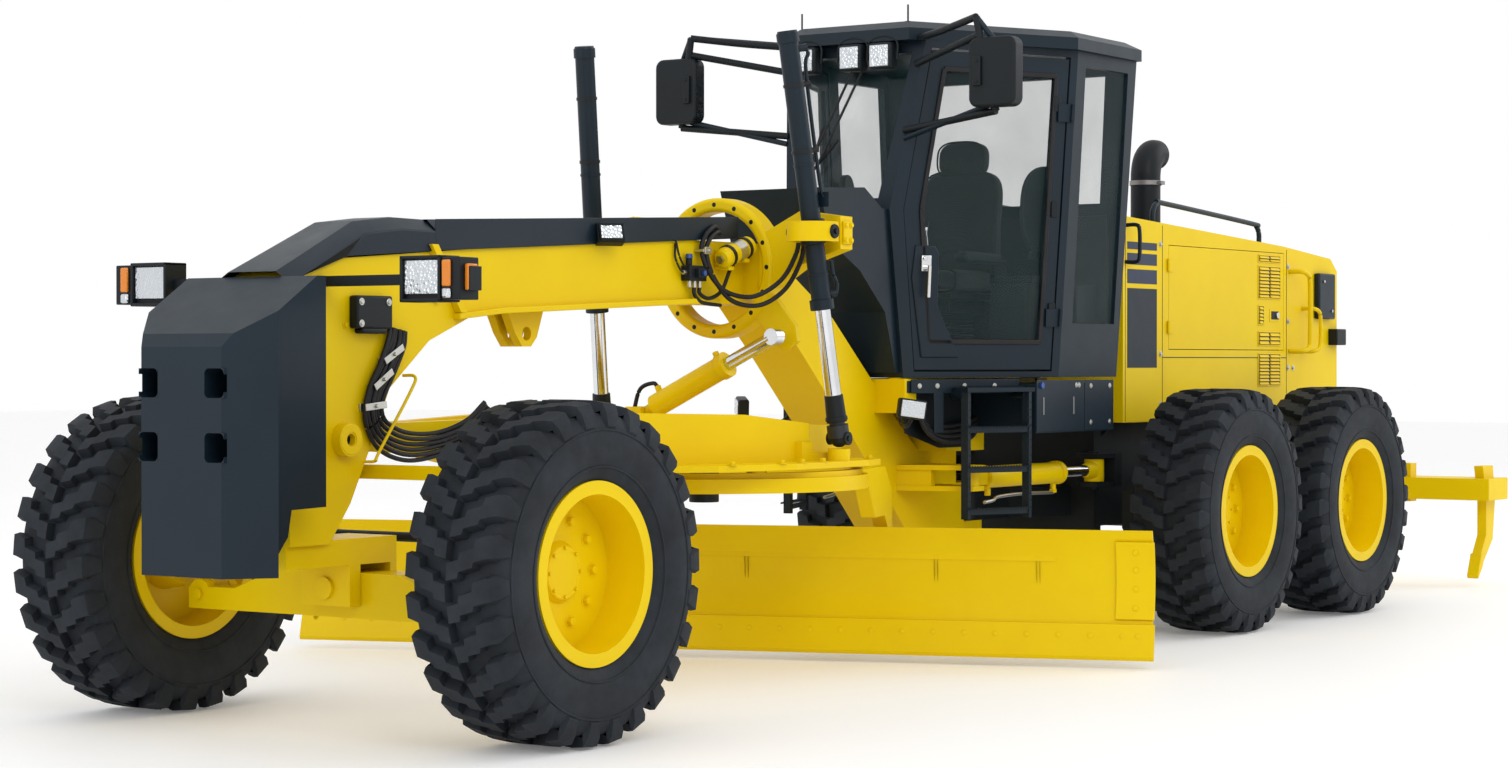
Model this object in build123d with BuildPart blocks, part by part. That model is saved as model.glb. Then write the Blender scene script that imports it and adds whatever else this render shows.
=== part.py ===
from build123d import *
import os
from math import atan2, cos, degrees, hypot, radians, sin

os.makedirs("parts", exist_ok=True)

# Motor grader, millimetres. Origin on the ground under the middle of the front axle,
# +X forward, +Y to the operator's left, +Z up.

# ---- driving dimensions ----
running = 0.3                 # clearance at pins and faces that turn on each other
wheel_radius = 656            # tyre, loaded and unloaded alike
tyre_width = 445
half_track = 1050             # wheel plane from the centre line, all six wheels
tandem_x = -6495              # middle of the tandem
tandem_pitch = 1525           # between the tandem's two wheels
rim_radius = 317              # bead seat
rim_flange_radius = 352
rim_width = 376
hub_radius = 130
hub_inner = 905               # hub's inner face, from the centre line
dish_plane = 1035             # wheel disc, from the centre line

frame_half = 152              # front frame's box, half width
frame_plate = 25

king_y = 760                  # kingpin, lean pin and tie rod pin, from the centre line
lean_z = 500                  # lean pin height
lean_bar_z = 1020
steer_arm = 250               # tie rod pin behind the kingpin
tie_z = 683
spindle_z = wheel_radius

ball = (215, 0, 1150)         # drawbar's ball
ball_radius = 55
circle_x = -2430              # centre of the circle
circle_radius = 765
circle_bottom = 870
circle_top = 960
circle_step = 25                # rim set back on top, clears the frame at full raise
blade_angle = 19.5            # left end back
blade_length = 4320
blade_offset = -650           # cutting edge behind the circle's centre
blade_shift = -157            # blade's middle to the right of the circle's centre
blade_bottom = 42
blade_top = 655
tip_pin = (-949, 300)         # behind the circle's centre, height
arm_spread = 645              # circle's drop arms, from its centre line

pivot_x = -4800               # articulation pin
hinge_pin = 40
hinge_forks = (565, 775)      # undersides of the front frame's two forks
articulation_z = 870          # articulation cylinders
artic_front = (-4070, 480)    # articulation cylinders' pins
artic_rear = (-5390, 480)
artic_tube_end = -4980
cab_floor = 1376
wall = 40                     # cab posts and panels

parts = []


# ---- planes and simple forms ----
def side_plane(y):
    """Plane whose sketch is (x, z); extruding goes towards -Y."""
    return Plane(origin=(0, y, 0), x_dir=(1, 0, 0), z_dir=(0, -1, 0))


def cross_plane(x):
    """Plane whose sketch is (y, z); extruding goes towards +X."""
    return Plane(origin=(x, 0, 0), x_dir=(0, 1, 0), z_dir=(1, 0, 0))


def level_plane(z):
    """Plane whose sketch is (x, y); extruding goes up."""
    return Plane.XY.offset(z)


def plate(plane, outline, thickness, mode=Mode.ADD):
    with BuildSketch(plane) as profile:
        with BuildLine():
            Polyline(*outline, close=True)
        make_face()
    extrude(profile.sketch, amount=thickness, mode=mode)


def block(x, y, z, mode=Mode.ADD):
    """Box from three (low, high) pairs."""
    with BuildSketch(level_plane(z[0])) as profile:
        with Locations(((x[0] + x[1]) / 2, (y[0] + y[1]) / 2)):
            Rectangle(x[1] - x[0], y[1] - y[0])
    extrude(profile.sketch, amount=z[1] - z[0], mode=mode)


def bar(start, end, radius, mode=Mode.ADD):
    """Round bar between two points."""
    axis = Vector(*end) - Vector(*start)
    with BuildSketch(Plane(origin=start, z_dir=axis)) as profile:
        Circle(radius)
    extrude(profile.sketch, amount=axis.length, mode=mode)


def drum(centre, axis, radius, length, mode=Mode.ADD):
    """Round bar about its middle."""
    half = Vector(*axis).normalized() * (length / 2)
    bar(tuple(Vector(*centre) - half), tuple(Vector(*centre) + half), radius, mode)


def keep(piece, label):
    piece.part.label = label
    export_step(piece.part, f"parts/{label}.step")
    parts.append(label)


# ---- wheels ----
#        name          x                               side
wheels = [
    ("front_left", 0, 1),
    ("front_right", 0, -1),
    ("mid_left", tandem_x + tandem_pitch / 2, 1),
    ("mid_right", tandem_x + tandem_pitch / 2, -1),
    ("rear_left", tandem_x - tandem_pitch / 2, 1),
    ("rear_right", tandem_x - tandem_pitch / 2, -1),
]
tyre_wall = 38
tread_depth = 62
sidewall_radius = 480

for name, x, side in wheels:
    wheel_plane = Plane(origin=(x, side * half_track, wheel_radius), x_dir=(0, side, 0), z_dir=(1, 0, 0))
    wheel_axis = Axis((x, 0, wheel_radius), (0, 1, 0))
    half = tyre_width / 2

    with BuildPart() as tyre:
        with BuildSketch(wheel_plane):
            with BuildLine():
                Polyline(
                    (-rim_width / 2 + 14, rim_radius + running), (-rim_width / 2 + 14, rim_flange_radius),
                    (-half, sidewall_radius - 40),
                    (-half, sidewall_radius + 40), (-half + 22, wheel_radius - 30),
                    (-half + 60, wheel_radius),
                    (half - 60, wheel_radius), (half - 22, wheel_radius - 30), (half, sidewall_radius + 40),
                    (half, sidewall_radius - 40), (rim_width / 2 - 14, rim_flange_radius),
                    (rim_width / 2 - 14, rim_radius + running),
                    (rim_width / 2 - 14 - tyre_wall, rim_radius + running),
                    (half - tyre_wall, sidewall_radius), (half - 70, wheel_radius - tread_depth),
                    (-half + 70, wheel_radius - tread_depth), (-half + tyre_wall, sidewall_radius),
                    (-rim_width / 2 + 14 + tyre_wall, rim_radius + running), close=True)
            make_face()
        revolve(axis=wheel_axis)
    keep(tyre, f"tyre_{name}")

    dish = dish_plane - half_track
    hub = hub_inner - half_track
    with BuildPart() as rim:
        with BuildSketch(wheel_plane):
            with BuildLine():
                Polyline(
                    (hub, 0), (hub, hub_radius), (dish, hub_radius + 25), (dish, rim_radius - 17),
                    (-rim_width / 2, rim_radius - 17), (-rim_width / 2, rim_flange_radius),
                    (-rim_width / 2 + 13, rim_flange_radius), (-rim_width / 2 + 13, rim_radius),
                    (rim_width / 2 - 13, rim_radius), (rim_width / 2 - 13, rim_flange_radius),
                    (rim_width / 2, rim_flange_radius), (rim_width / 2, rim_radius - 17),
                    (dish + 20, rim_radius - 17), (dish + 20, hub_radius - 10), (dish + 48, hub_radius - 30),
                    (dish + 48, 0), close=True)
            make_face()
        revolve(axis=wheel_axis)
    keep(rim, f"rim_{name}")

# ---- front axle: beam, lean brackets, knuckles, tie rod, lean bar ----
beam_half = 85
ear_inner = 45
pin_radius = 22
saddle_z = 560                # axle's oscillation pin

with BuildPart() as front_axle:
    plate(cross_plane(-beam_half), [(-820, 440), (820, 440), (820, 530), (560, 530), (330, 620),
          (-330, 620), (-560, 530), (-820, 530)], 2 * beam_half)
    for side in (1, -1):
        drum((0, side * king_y, lean_z), (1, 0, 0), 60, 2 * beam_half)
        block((-ear_inner, ear_inner), sorted((side * (king_y - 80), side * 860)), (400, 600), Mode.SUBTRACT)
        drum((0, side * king_y, lean_z), (1, 0, 0), pin_radius, 2 * beam_half + 30)
    drum((0, 0, saddle_z), (1, 0, 0), 44, 330)
keep(front_axle, "front_axle")

for name, side in (("left", 1), ("right", -1)):
    outboard = side * king_y

    def across(inner, outer):
        """Y range measured outboard from the kingpin."""
        return tuple(sorted((outboard + side * inner, outboard + side * outer)))

    with BuildPart() as lean_bracket:
        drum((0, outboard, lean_z), (1, 0, 0), 54, 2 * (ear_inner - running))
        block((-40, 40), across(-42, 42), (lean_z, 592))
        block((-32, 32), across(-130, 0), (590, 625))
        bar((0, outboard, 590), (0, outboard, 625), 50)
        block((-32, 32), across(-130, -92), (590, 780))
        block((-32, 32), across(-130, 0), (741, 780))
        bar((0, outboard, 741), (0, outboard, 780), 50)
        plate(cross_plane(-28), [(across(-110, 30)[0], 778), (across(-110, 30)[1], 778),
              (across(-36, 36)[1], lean_bar_z), (across(-36, 36)[0], lean_bar_z)], 56)
        drum((0, outboard, lean_bar_z), (1, 0, 0), 36, 56)
        drum((0, outboard, lean_z), (1, 0, 0), pin_radius + running, 120, Mode.SUBTRACT)
        drum((0, outboard, lean_bar_z), (1, 0, 0), pin_radius + running, 80, Mode.SUBTRACT)
        bar((0, outboard, 585), (0, outboard, 785), 28 + running, Mode.SUBTRACT)
    keep(lean_bracket, f"lean_bracket_{name}")

    with BuildPart() as knuckle:
        bar((0, outboard, 625 + running), (0, outboard, 741 - running), 55)
        bar((0, outboard, 592), (0, outboard, 778), 28)
        block((-45, 45), across(40, 70), (628, 712))
        bar((0, outboard + side * 60, spindle_z), (0, side * (hub_inner - running), spindle_z), 52)
        bar((0, side * (hub_inner - 30), spindle_z), (0, side * (hub_inner - running), spindle_z), 95)
        plate(level_plane(tie_z - 18), [(0, outboard - 24), (-steer_arm, outboard - 24),
              (-steer_arm, outboard + 24), (0, outboard + 24)], 36)
        bar((-steer_arm, outboard, tie_z - 18), (-steer_arm, outboard, tie_z + 18), 34)
        if side > 0:
            bar((-steer_arm, outboard, tie_z - 25), (-steer_arm, outboard, tie_z + 25), 16 + running,
                Mode.SUBTRACT)
        else:
            bar((-steer_arm, outboard, tie_z), (-steer_arm, outboard, tie_z + 50), 12)
            with Locations((-steer_arm, outboard, tie_z + 62)):
                Sphere(21)
    keep(knuckle, f"knuckle_{name}")

with BuildPart() as tie_rod_joint:
    bar((-steer_arm, king_y, tie_z - 18), (-steer_arm, king_y, tie_z + 19), 16)
    bar((-steer_arm, king_y, tie_z + 18 + running), (-steer_arm, king_y, tie_z + 62), 22)
    drum((-steer_arm, king_y, tie_z + 62), (1, 0, 0), 22, 44)
keep(tie_rod_joint, "tie_rod_joint")

with BuildPart() as tie_rod:
    bar((-steer_arm, -king_y + 50, tie_z + 62), (-steer_arm, king_y - 50, tie_z + 62), 20)
    for side in (1, -1):
        block((-steer_arm - 40, -steer_arm + 40), sorted((side * (king_y - 68), side * (king_y - 40))),
              (tie_z + 40, tie_z + 84))
        for x in (-steer_arm - 40, -steer_arm + 22 + running):
            block((x, x + 18 - running), sorted((side * (king_y - 60), side * (king_y + 20))),
                  (tie_z + 40, tie_z + 84))
keep(tie_rod, "tie_rod")

with BuildPart() as lean_bar:
    block((28 + running, 58), (-king_y, king_y), (lean_bar_z - 28, lean_bar_z + 28))
    for side in (1, -1):
        bar((28 + running, side * king_y, lean_bar_z), (58, side * king_y, lean_bar_z), 34)
        bar((-28, side * king_y, lean_bar_z), (60, side * king_y, lean_bar_z), pin_radius)
keep(lean_bar, "lean_bar")

# ---- front frame ----
with BuildPart() as front_frame:
    # gooseneck and arch: one box section seen from the side
    plate(side_plane(frame_half), [
        (512 - running, 745), (512 - running, 1780), (340, 1850), (-559, 1919), (-2110, 2010), (-2700, 2010),
        (-3298, 1668), (-3937, 1128), (-4350, 820), (-4560, 820), (-4560, 590), (-3995, 590),
        (-3458, 1103), (-3041, 1482), (-2760, 1723), (-2084, 1723), (-729, 1661), (-560, 1640),
        (-300, 1540), (-60, 1350), (58, 1111), (170, 900), (291, 745)], 2 * frame_half)
    # hollow nose, open to the rear for the drawbar's tongue
    block((-60, 400), (-frame_half + frame_plate, frame_half - frame_plate), (940, 1330), Mode.SUBTRACT)
    # saddle over the axle beam, with the oscillation pin's plates
    block((-125, 510), (-130, 130), (655, 760))
    block((-125, -beam_half - 3), (-130, 130), (490, 660))
    block((beam_half + 3, 150), (-130, 130), (490, 660))
    drum((0, 0, saddle_z), (1, 0, 0), 44 + running, 340, Mode.SUBTRACT)
    # drawbar's socket and side bosses
    for y in (-frame_half - 45, frame_half):
        bar((ball[0], y, ball[2]), (ball[0], y + 45, ball[2]), 65)
    drum(ball, (0, 1, 0), 24, 2 * frame_half + 100, Mode.SUBTRACT)
    block((ball[0] + 40, ball[0] + 130), (-frame_half, frame_half), (ball[2] - 100, ball[2] + 100))
    bar((ball[0], 0, ball[2] - 110), (ball[0], 0, ball[2] + 110), ball_radius + running, Mode.SUBTRACT)
    # articulation hinge, upper and lower fork
    for z in hinge_forks:
        plate(level_plane(z), [(-4500, -140), (-4500, 140), (pivot_x, 100), (pivot_x, -100)], 50)
        bar((pivot_x, 0, z), (pivot_x, 0, z + 50), 105)
    bar((pivot_x, 0, 500), (pivot_x, 0, 900), hinge_pin + running, Mode.SUBTRACT)
    # cab carriers
    for x in (-3790, -5140):
        block((x, x + 110), (-330, 330), (1200, cab_floor - 6))
    for side in (1, -1):
        block((-5140, -3680), sorted((side * 220, side * 320)), (1200, cab_floor - 6))
        for x in (-3735, -5085):
            bar((x, side * 260, cab_floor - 10), (x, side * 260, cab_floor - running), 50)
    block((-4480, -4100), (-320, 320), (1000, 1200))
    block((-4480, -4100), (-frame_half, frame_half), (700, 1000))
    # articulation cylinders' front brackets
    for side in (1, -1):
        for z in (articulation_z - 65, articulation_z + 40):
            plate(level_plane(z), [(-4240, side * 140), (-3880, side * 140), (-4010, side * 530),
                  (-4120, side * 530)], 25)
        plate(level_plane(articulation_z - 60), [(-3960, side * 140), (-3890, side * 140),
              (-3950, side * 320),
              (-3990, side * 320)], 120)
        bar((artic_front[0], side * artic_front[1], articulation_z - 80),
            (artic_front[0], side * artic_front[1], articulation_z + 80), 22 + running, Mode.SUBTRACT)
    # twin-eyed lug under the gooseneck
    for y in (-60, 20):
        plate(side_plane(y + 40), [(-900, 1690), (-1160, 1690), (-1110, 1560), (-1070, 1520), (-1010, 1520),
              (-960, 1580)], 40)
    bar((-1040, -80, 1575), (-1040, 80, 1575), 30, Mode.SUBTRACT)
keep(front_frame, "front_frame")

# ---- counterweight ----
with BuildPart() as counterweight:
    plate(side_plane(340), [(935, 650), (935, 1510), (900, 1560), (560, 1780), (512, 1780), (512, 905),
          (700, 900), (720, 800), (770, 740), (770, 650)], 680)
    for side in (1, -1):
        plate(level_plane(640), [(935, side * 209), (960, side * 209), (960, side * 360), (770, side * 360),
              (770, side * 340)], 1200, Mode.SUBTRACT)
        for z in (1135, 1375):
            block((800, 940), sorted((side * 122, side * 222)), (z - 55, z + 55), Mode.SUBTRACT)
keep(counterweight, "counterweight")

# ---- lifter: ring round the gooseneck, arms and trunnion blocks ----
lifter_x = -2570
ring_outer = 330
ring_z = 1894
yoke = (-2400, 627, 2045)
yoke_outer = 118
shift_eye = (-2425, 400, 1570)     # side shift cylinder, ahead of the ring

with BuildPart() as lifter:
    with BuildSketch(Plane.XZ) as section:
        with Locations((lifter_x, ring_z + ring_outer - 32.5)):
            RectangleRounded(120, 65, 22)
    revolve(section.sketch, Axis((0, 0, ring_z), (1, 0, 0)))
    for side in (1, -1):
        block((lifter_x - 40, lifter_x + 40), sorted((side * (frame_half + running), side * 300)),
              (ring_z - 130, ring_z + 110))
        plate(cross_plane(lifter_x - 50), [(side * 250, 1760), (side * 250, 2040), (side * 480, 2150),
              (side * 700, 2120), (side * 700, 1970), (side * 480, 1900)], 100)
        bar((lifter_x, side * yoke[1], yoke[2]), (yoke[0] - yoke_outer - running, side * yoke[1], yoke[2]),
            60)
        bar((lifter_x - 70, side * yoke[1], yoke[2]), (yoke[0], side * yoke[1], yoke[2]), 28 + running,
            Mode.SUBTRACT)
    # bracket of the side shift cylinder, low on the left, standing clear behind the rod's eye
    plate(cross_plane(lifter_x + 15), [(170, 1660), (250, 1790), (330, 1760), (450, 1620), (460, 1550),
          (400, 1510), (340, 1530), (250, 1650)], 32)
keep(lifter, "lifter")

# ---- drawbar and its ball ----
flange_z = (975, 1003)
fork_half = 64

with BuildPart() as drawbar_ball:
    with Locations(ball):
        Sphere(ball_radius)
    for z in (ball[2] - 110, ball[2] + 40):
        bar((ball[0], 0, z), (ball[0], 0, z + 70), 60, Mode.SUBTRACT)
    bar((ball[0], 0, ball[2] - fork_half), (ball[0], 0, ball[2] + fork_half), 20)
keep(drawbar_ball, "drawbar_ball")

lift_pin = (-2542, 678, 1105)
seat_top = 1057               # below the lift cylinder's ball
shift_base = (shift_eye[0], -367, 1203)

with BuildPart() as drawbar:
    block((ball[0] - 330, ball[0] - 62), (-55, 55), (ball[2] - 55, ball[2] + 55))
    for z in (ball[2] - fork_half, ball[2] + 40 + running):
        block((ball[0] - 80, ball[0]), (-44, 44), (z, z + 24 - running))
        bar((ball[0], 0, z), (ball[0], 0, z + 24 - running), 44)
    bar((ball[0], 0, ball[2] - 80), (ball[0], 0, ball[2] + 80), 20 + running, Mode.SUBTRACT)
    for side in (1, -1):
        plate(level_plane(1003), [(-110, side * 15), (-110, side * 45), (-1326, side * 321),
              (-2570, side * 610),
              (-2570, side * 550), (-1326, side * 261), (-400, side * 50), (-400, side * 15)], 240)
    # arms trimmed to their side outline
    plate(side_plane(700), [(300, 1240), (-110, 1205), (-1326, 1235), (-2059, 1218), (-2524, 1165),
          (-2600, 1160), (-2600, 1400), (300, 1400)], 1400, Mode.SUBTRACT)
    plate(side_plane(700), [(300, 1050), (-100, 1095), (-420, 1075), (-900, 1003), (-900, 900), (300, 900)],
          1400, Mode.SUBTRACT)
    # flange plate over the circle, open in the middle
    plate(level_plane(flange_z[0]), [(-900, 150), (-1300, 330), (-1640, 640), (-2100, 740), (-2700, 740),
          (-2890, 684), (-2890, -684), (-2700, -740), (-2100, -740), (-1640, -640), (-1300, -330),
          (-900, -150)], flange_z[1] - flange_z[0])
    bar((circle_x, 0, 960), (circle_x, 0, 1020), 430, Mode.SUBTRACT)
    # wear pads on the circle
    for angle in (0, 55, 125, 235, 305):
        x = circle_x + 700 * cos(radians(angle))
        y = 700 * sin(radians(angle))
        bar((x, y, circle_top + running), (x, y, flange_z[0] + 5), 45)
    # seats under the lift cylinders' balls, in a pocket at the arms' ends
    for side in (1, -1):
        plate(side_plane(side * 513 + 17), [(-2360, 1003), (-2380, 1172), (-2730, 1160), (-2768, 1145),
              (-2790, 1100), (-2790, 1003)], 34)
    # rear cross member with the side shift cylinder's bracket
    block((lifter_x - 70, shift_base[0] + 70), (-600, 600), (1000, 1090))
    for x in (shift_base[0] - 60, shift_base[0] + 30):
        block((x, x + 30), (shift_base[1] - 45, shift_base[1] + 45), (1080, shift_base[2] + 40))
    drum(shift_base, (1, 0, 0), 20 + running, 120, Mode.SUBTRACT)
    for side in (1, -1):
        block((-2800, -2440), sorted((side * 533, side * 760)), (1040, 1300), Mode.SUBTRACT)
        bar((lift_pin[0], side * lift_pin[1], 1000), (lift_pin[0], side * lift_pin[1], seat_top), 52)
keep(drawbar, "drawbar")

# ---- circle, turned with the blade ----
turn = radians(blade_angle)


def blade_point(forward, left, z):
    """Point from the circle's centre: forward across the blade, left along it."""
    return (circle_x + forward * cos(turn) - left * sin(turn), forward * sin(turn) + left * cos(turn), z)


def blade_side(left):
    """Plane across the blade; its sketch is (forward, z), extruding goes to the right."""
    return Plane(origin=blade_point(0, left, 0), x_dir=(cos(turn), sin(turn), 0),
                 z_dir=(sin(turn), -cos(turn), 0))


arm_plate = 70
with BuildPart() as circle:
    bar((circle_x, 0, circle_bottom), (circle_x, 0, circle_top - circle_step), circle_radius)
    bar((circle_x, 0, circle_bottom), (circle_x, 0, circle_top), circle_radius - circle_step)
    bar((circle_x, 0, circle_bottom), (circle_x, 0, circle_top), circle_radius - 75, Mode.SUBTRACT)
    for side in (1, -1):
        plate(blade_side(side * arm_spread + arm_plate / 2), [(-345, 875), (-345, 945), (-840, 945),
              (-999, 820),
              (-1003, 300), (-985, 255), (-949, 240), (-913, 255), (-905, 300), (-905, 640), (-830, 705),
              (-620, 705), (-480, 860)], arm_plate)
        bar(blade_point(tip_pin[0], side * arm_spread + 85, tip_pin[1]),
            blade_point(tip_pin[0], side * arm_spread - 85, tip_pin[1]), 28)
keep(circle, "circle")

# ---- blade carrier: hinged on the arms, guides the moldboard ----
rail_back = -812
rail_heights = (230, 530)
with BuildPart() as blade_carrier:
    for side in (1, -1):
        for cheek in (arm_plate / 2 + running + 40, -arm_plate / 2 - running):
            plate(blade_side(side * arm_spread + cheek), [(-985, 265), (-1000, 300), (-985, 335),
                  (-949, 350),
                  (-900, 420), (-860, 590), (rail_back - running, 590), (rail_back - running, 165),
                  (-860, 165),
                  (-949, 250)], 40)
        plate(blade_side(side * arm_spread + 75 + running), [(-850, 165), (-850, 610), (-780, 610),
              (-780, 560 + running),
              (rail_back - running, 560 + running), (rail_back - running, 200 - running),
              (-780, 200 - running),
              (-780, 165)], 150 + 2 * running)
        bar(blade_point(tip_pin[0], side * arm_spread + 95, tip_pin[1]),
            blade_point(tip_pin[0], side * arm_spread - 95, tip_pin[1]), 28 + running, Mode.SUBTRACT)
    plate(blade_side(arm_spread), [(-850, 340), (-850, 410), (-822, 410), (-822, 340)], 2 * arm_spread)
keep(blade_carrier, "blade_carrier")

# ---- moldboard with slide rails, cutting edge and end bits ----
blade_plate = 22
slide = 820
left_end = blade_shift + blade_length / 2
face_foot = (blade_offset - 26, 60)
face_knee = (blade_offset - 72, 225)
face_belly = (blade_offset - 114, 410)
face_top = (blade_offset - 45, blade_top)
with BuildPart() as moldboard:
    with BuildSketch(blade_side(left_end)) as section:
        with BuildLine():
            Line(face_foot, face_knee)
            ThreePointArc(face_knee, face_belly, face_top)
            Line(face_top, (face_top[0] - blade_plate, face_top[1]))
            ThreePointArc((face_top[0] - blade_plate, face_top[1]),
                          (face_belly[0] - blade_plate, face_belly[1]),
                          (face_knee[0] - blade_plate, face_knee[1]))
            Line((face_knee[0] - blade_plate, face_knee[1]), (face_foot[0] - blade_plate, face_foot[1]))
            Line((face_foot[0] - blade_plate, face_foot[1]), face_foot)
        make_face()
    extrude(section.sketch, amount=blade_length)
    for z, front in zip(rail_heights, (-746, -751)):
        plate(blade_side(arm_spread + slide + 75), [(rail_back, z - 30), (rail_back, z + 30),
              (front, z + 30),
              (front, z - 30)], 2 * (arm_spread + slide + 75))
keep(moldboard, "moldboard")

edge_lean = (face_knee[0] - face_foot[0]) / (face_knee[1] - face_foot[1])
with BuildPart() as cutting_edge:
    edge_foot = face_foot[0] + (blade_bottom - face_foot[1]) * edge_lean + running
    edge_head = face_foot[0] + (210 - face_foot[1]) * edge_lean + running
    plate(blade_side(left_end + 12), [(edge_foot, blade_bottom), (edge_foot + 16, blade_bottom),
          (edge_foot + 20, blade_bottom + 18), (edge_head + 20, 210), (edge_head, 210)], blade_length + 24)
keep(cutting_edge, "cutting_edge")

# ---- lift cylinders in their yokes ----
lift_radius = 62
lift_tube_length = (900, 352)      # above and below the yoke
lift_rod_radius = 36
for name, side in (("left", 1), ("right", -1)):
    centre = Vector(yoke[0], side * yoke[1], yoke[2])
    foot = Vector(lift_pin[0], side * lift_pin[1], lift_pin[2])
    along = (centre - foot).normalized()

    def on_lift(distance):
        """Point on the cylinder's axis above the yoke."""
        return tuple(centre + along * distance)

    with BuildPart() as yoke_frame:
        bar((centre.X, centre.Y, centre.Z - 45), (centre.X, centre.Y, centre.Z + 45), yoke_outer)
        bar((centre.X, centre.Y, centre.Z - 60), (centre.X, centre.Y, centre.Z + 60), 88, Mode.SUBTRACT)
        bar((centre.X - 108, centre.Y, centre.Z), (centre.X - 235, centre.Y, centre.Z), 28)
        bar((centre.X - 240, centre.Y, centre.Z), (centre.X - 228, centre.Y, centre.Z), 44)
        drum(tuple(centre), (0, 1, 0), 22 + running, 260, Mode.SUBTRACT)
    keep(yoke_frame, f"yoke_{name}")

    with BuildPart() as lift_tube:
        bar(on_lift(-lift_tube_length[1]), on_lift(lift_tube_length[0]), lift_radius)
        bar(on_lift(-lift_tube_length[1]), on_lift(-lift_tube_length[1] + 60), lift_radius + 10)
        bar(on_lift(lift_tube_length[0] - 40), on_lift(lift_tube_length[0]), lift_radius + 8)
        bar(on_lift(-34), on_lift(34), lift_radius + 14)
        drum(tuple(centre), (0, 1, 0), 22, 230)
        bar(on_lift(-lift_tube_length[1] - 10), on_lift(lift_tube_length[0] - 30), lift_rod_radius + running,
            Mode.SUBTRACT)
    keep(lift_tube, f"lift_tube_{name}")

    with BuildPart() as lift_rod:
        reach = (centre - foot).length
        bar(on_lift(-reach + 36), on_lift(380), lift_rod_radius)
        bar(on_lift(-reach + 5), on_lift(-reach + 62), 50)
        with Locations(tuple(foot)):
            Sphere(40)
        bar((foot.X, foot.Y - side * 44, foot.Z), (foot.X, foot.Y + side * 52, foot.Z), 26)
    keep(lift_rod, f"lift_rod_{name}")

# ---- side shift cylinder, across under the gooseneck ----
shift_start = Vector(*shift_base)
shift_end = Vector(shift_base[0], shift_eye[1], shift_eye[2])
shift_reach = (shift_end - shift_start).length
shift_along = (shift_end - shift_start).normalized()


def on_shift(distance):
    return tuple(shift_start + shift_along * distance)


with BuildPart() as shift_tube:
    bar(on_shift(100), on_shift(560), 55)
    bar(on_shift(520), on_shift(560), 62)
    drum(shift_base, (1, 0, 0), 40, 60 - 2 * running)
    bar(on_shift(0), on_shift(110), 26)
    drum(shift_base, (1, 0, 0), 20, 112)
    bar(on_shift(130), on_shift(600), 32 + running, Mode.SUBTRACT)
keep(shift_tube, "shift_tube")

with BuildPart() as shift_rod:
    bar(on_shift(340), on_shift(shift_reach - 20), 32)
    drum(tuple(shift_end), (1, 0, 0), 38, 60)
keep(shift_rod, "shift_rod")

# ---- articulation cylinders ----
for name, side in (("left", 1), ("right", -1)):
    y = side * artic_front[1]
    with BuildPart() as artic_tube:
        bar((artic_front[0] - 105, y, articulation_z), (artic_tube_end, y, articulation_z), 56)
        bar((artic_tube_end + 40, y, articulation_z), (artic_tube_end, y, articulation_z), 62)
        bar((artic_front[0], y, articulation_z - 40 + running),
            (artic_front[0], y, articulation_z + 40 - running), 46)
        block((artic_front[0] - 110, artic_front[0]), (y - 40, y + 40),
              (articulation_z - 36, articulation_z + 36))
        bar((artic_front[0] - 150, y, articulation_z), (artic_tube_end - 40, y, articulation_z),
            32 + running, Mode.SUBTRACT)
        bar((artic_front[0], y, articulation_z - 64), (artic_front[0], y, articulation_z + 64), 22)
    keep(artic_tube, f"artic_tube_{name}")
    with BuildPart() as artic_rod:
        bar((-4690, y, articulation_z), (artic_rear[0] + 30, y, articulation_z), 32)
        bar((artic_rear[0], y, articulation_z - 60), (artic_rear[0], y, articulation_z + 60), 52)
    keep(artic_rod, f"artic_rod_{name}")

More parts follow.
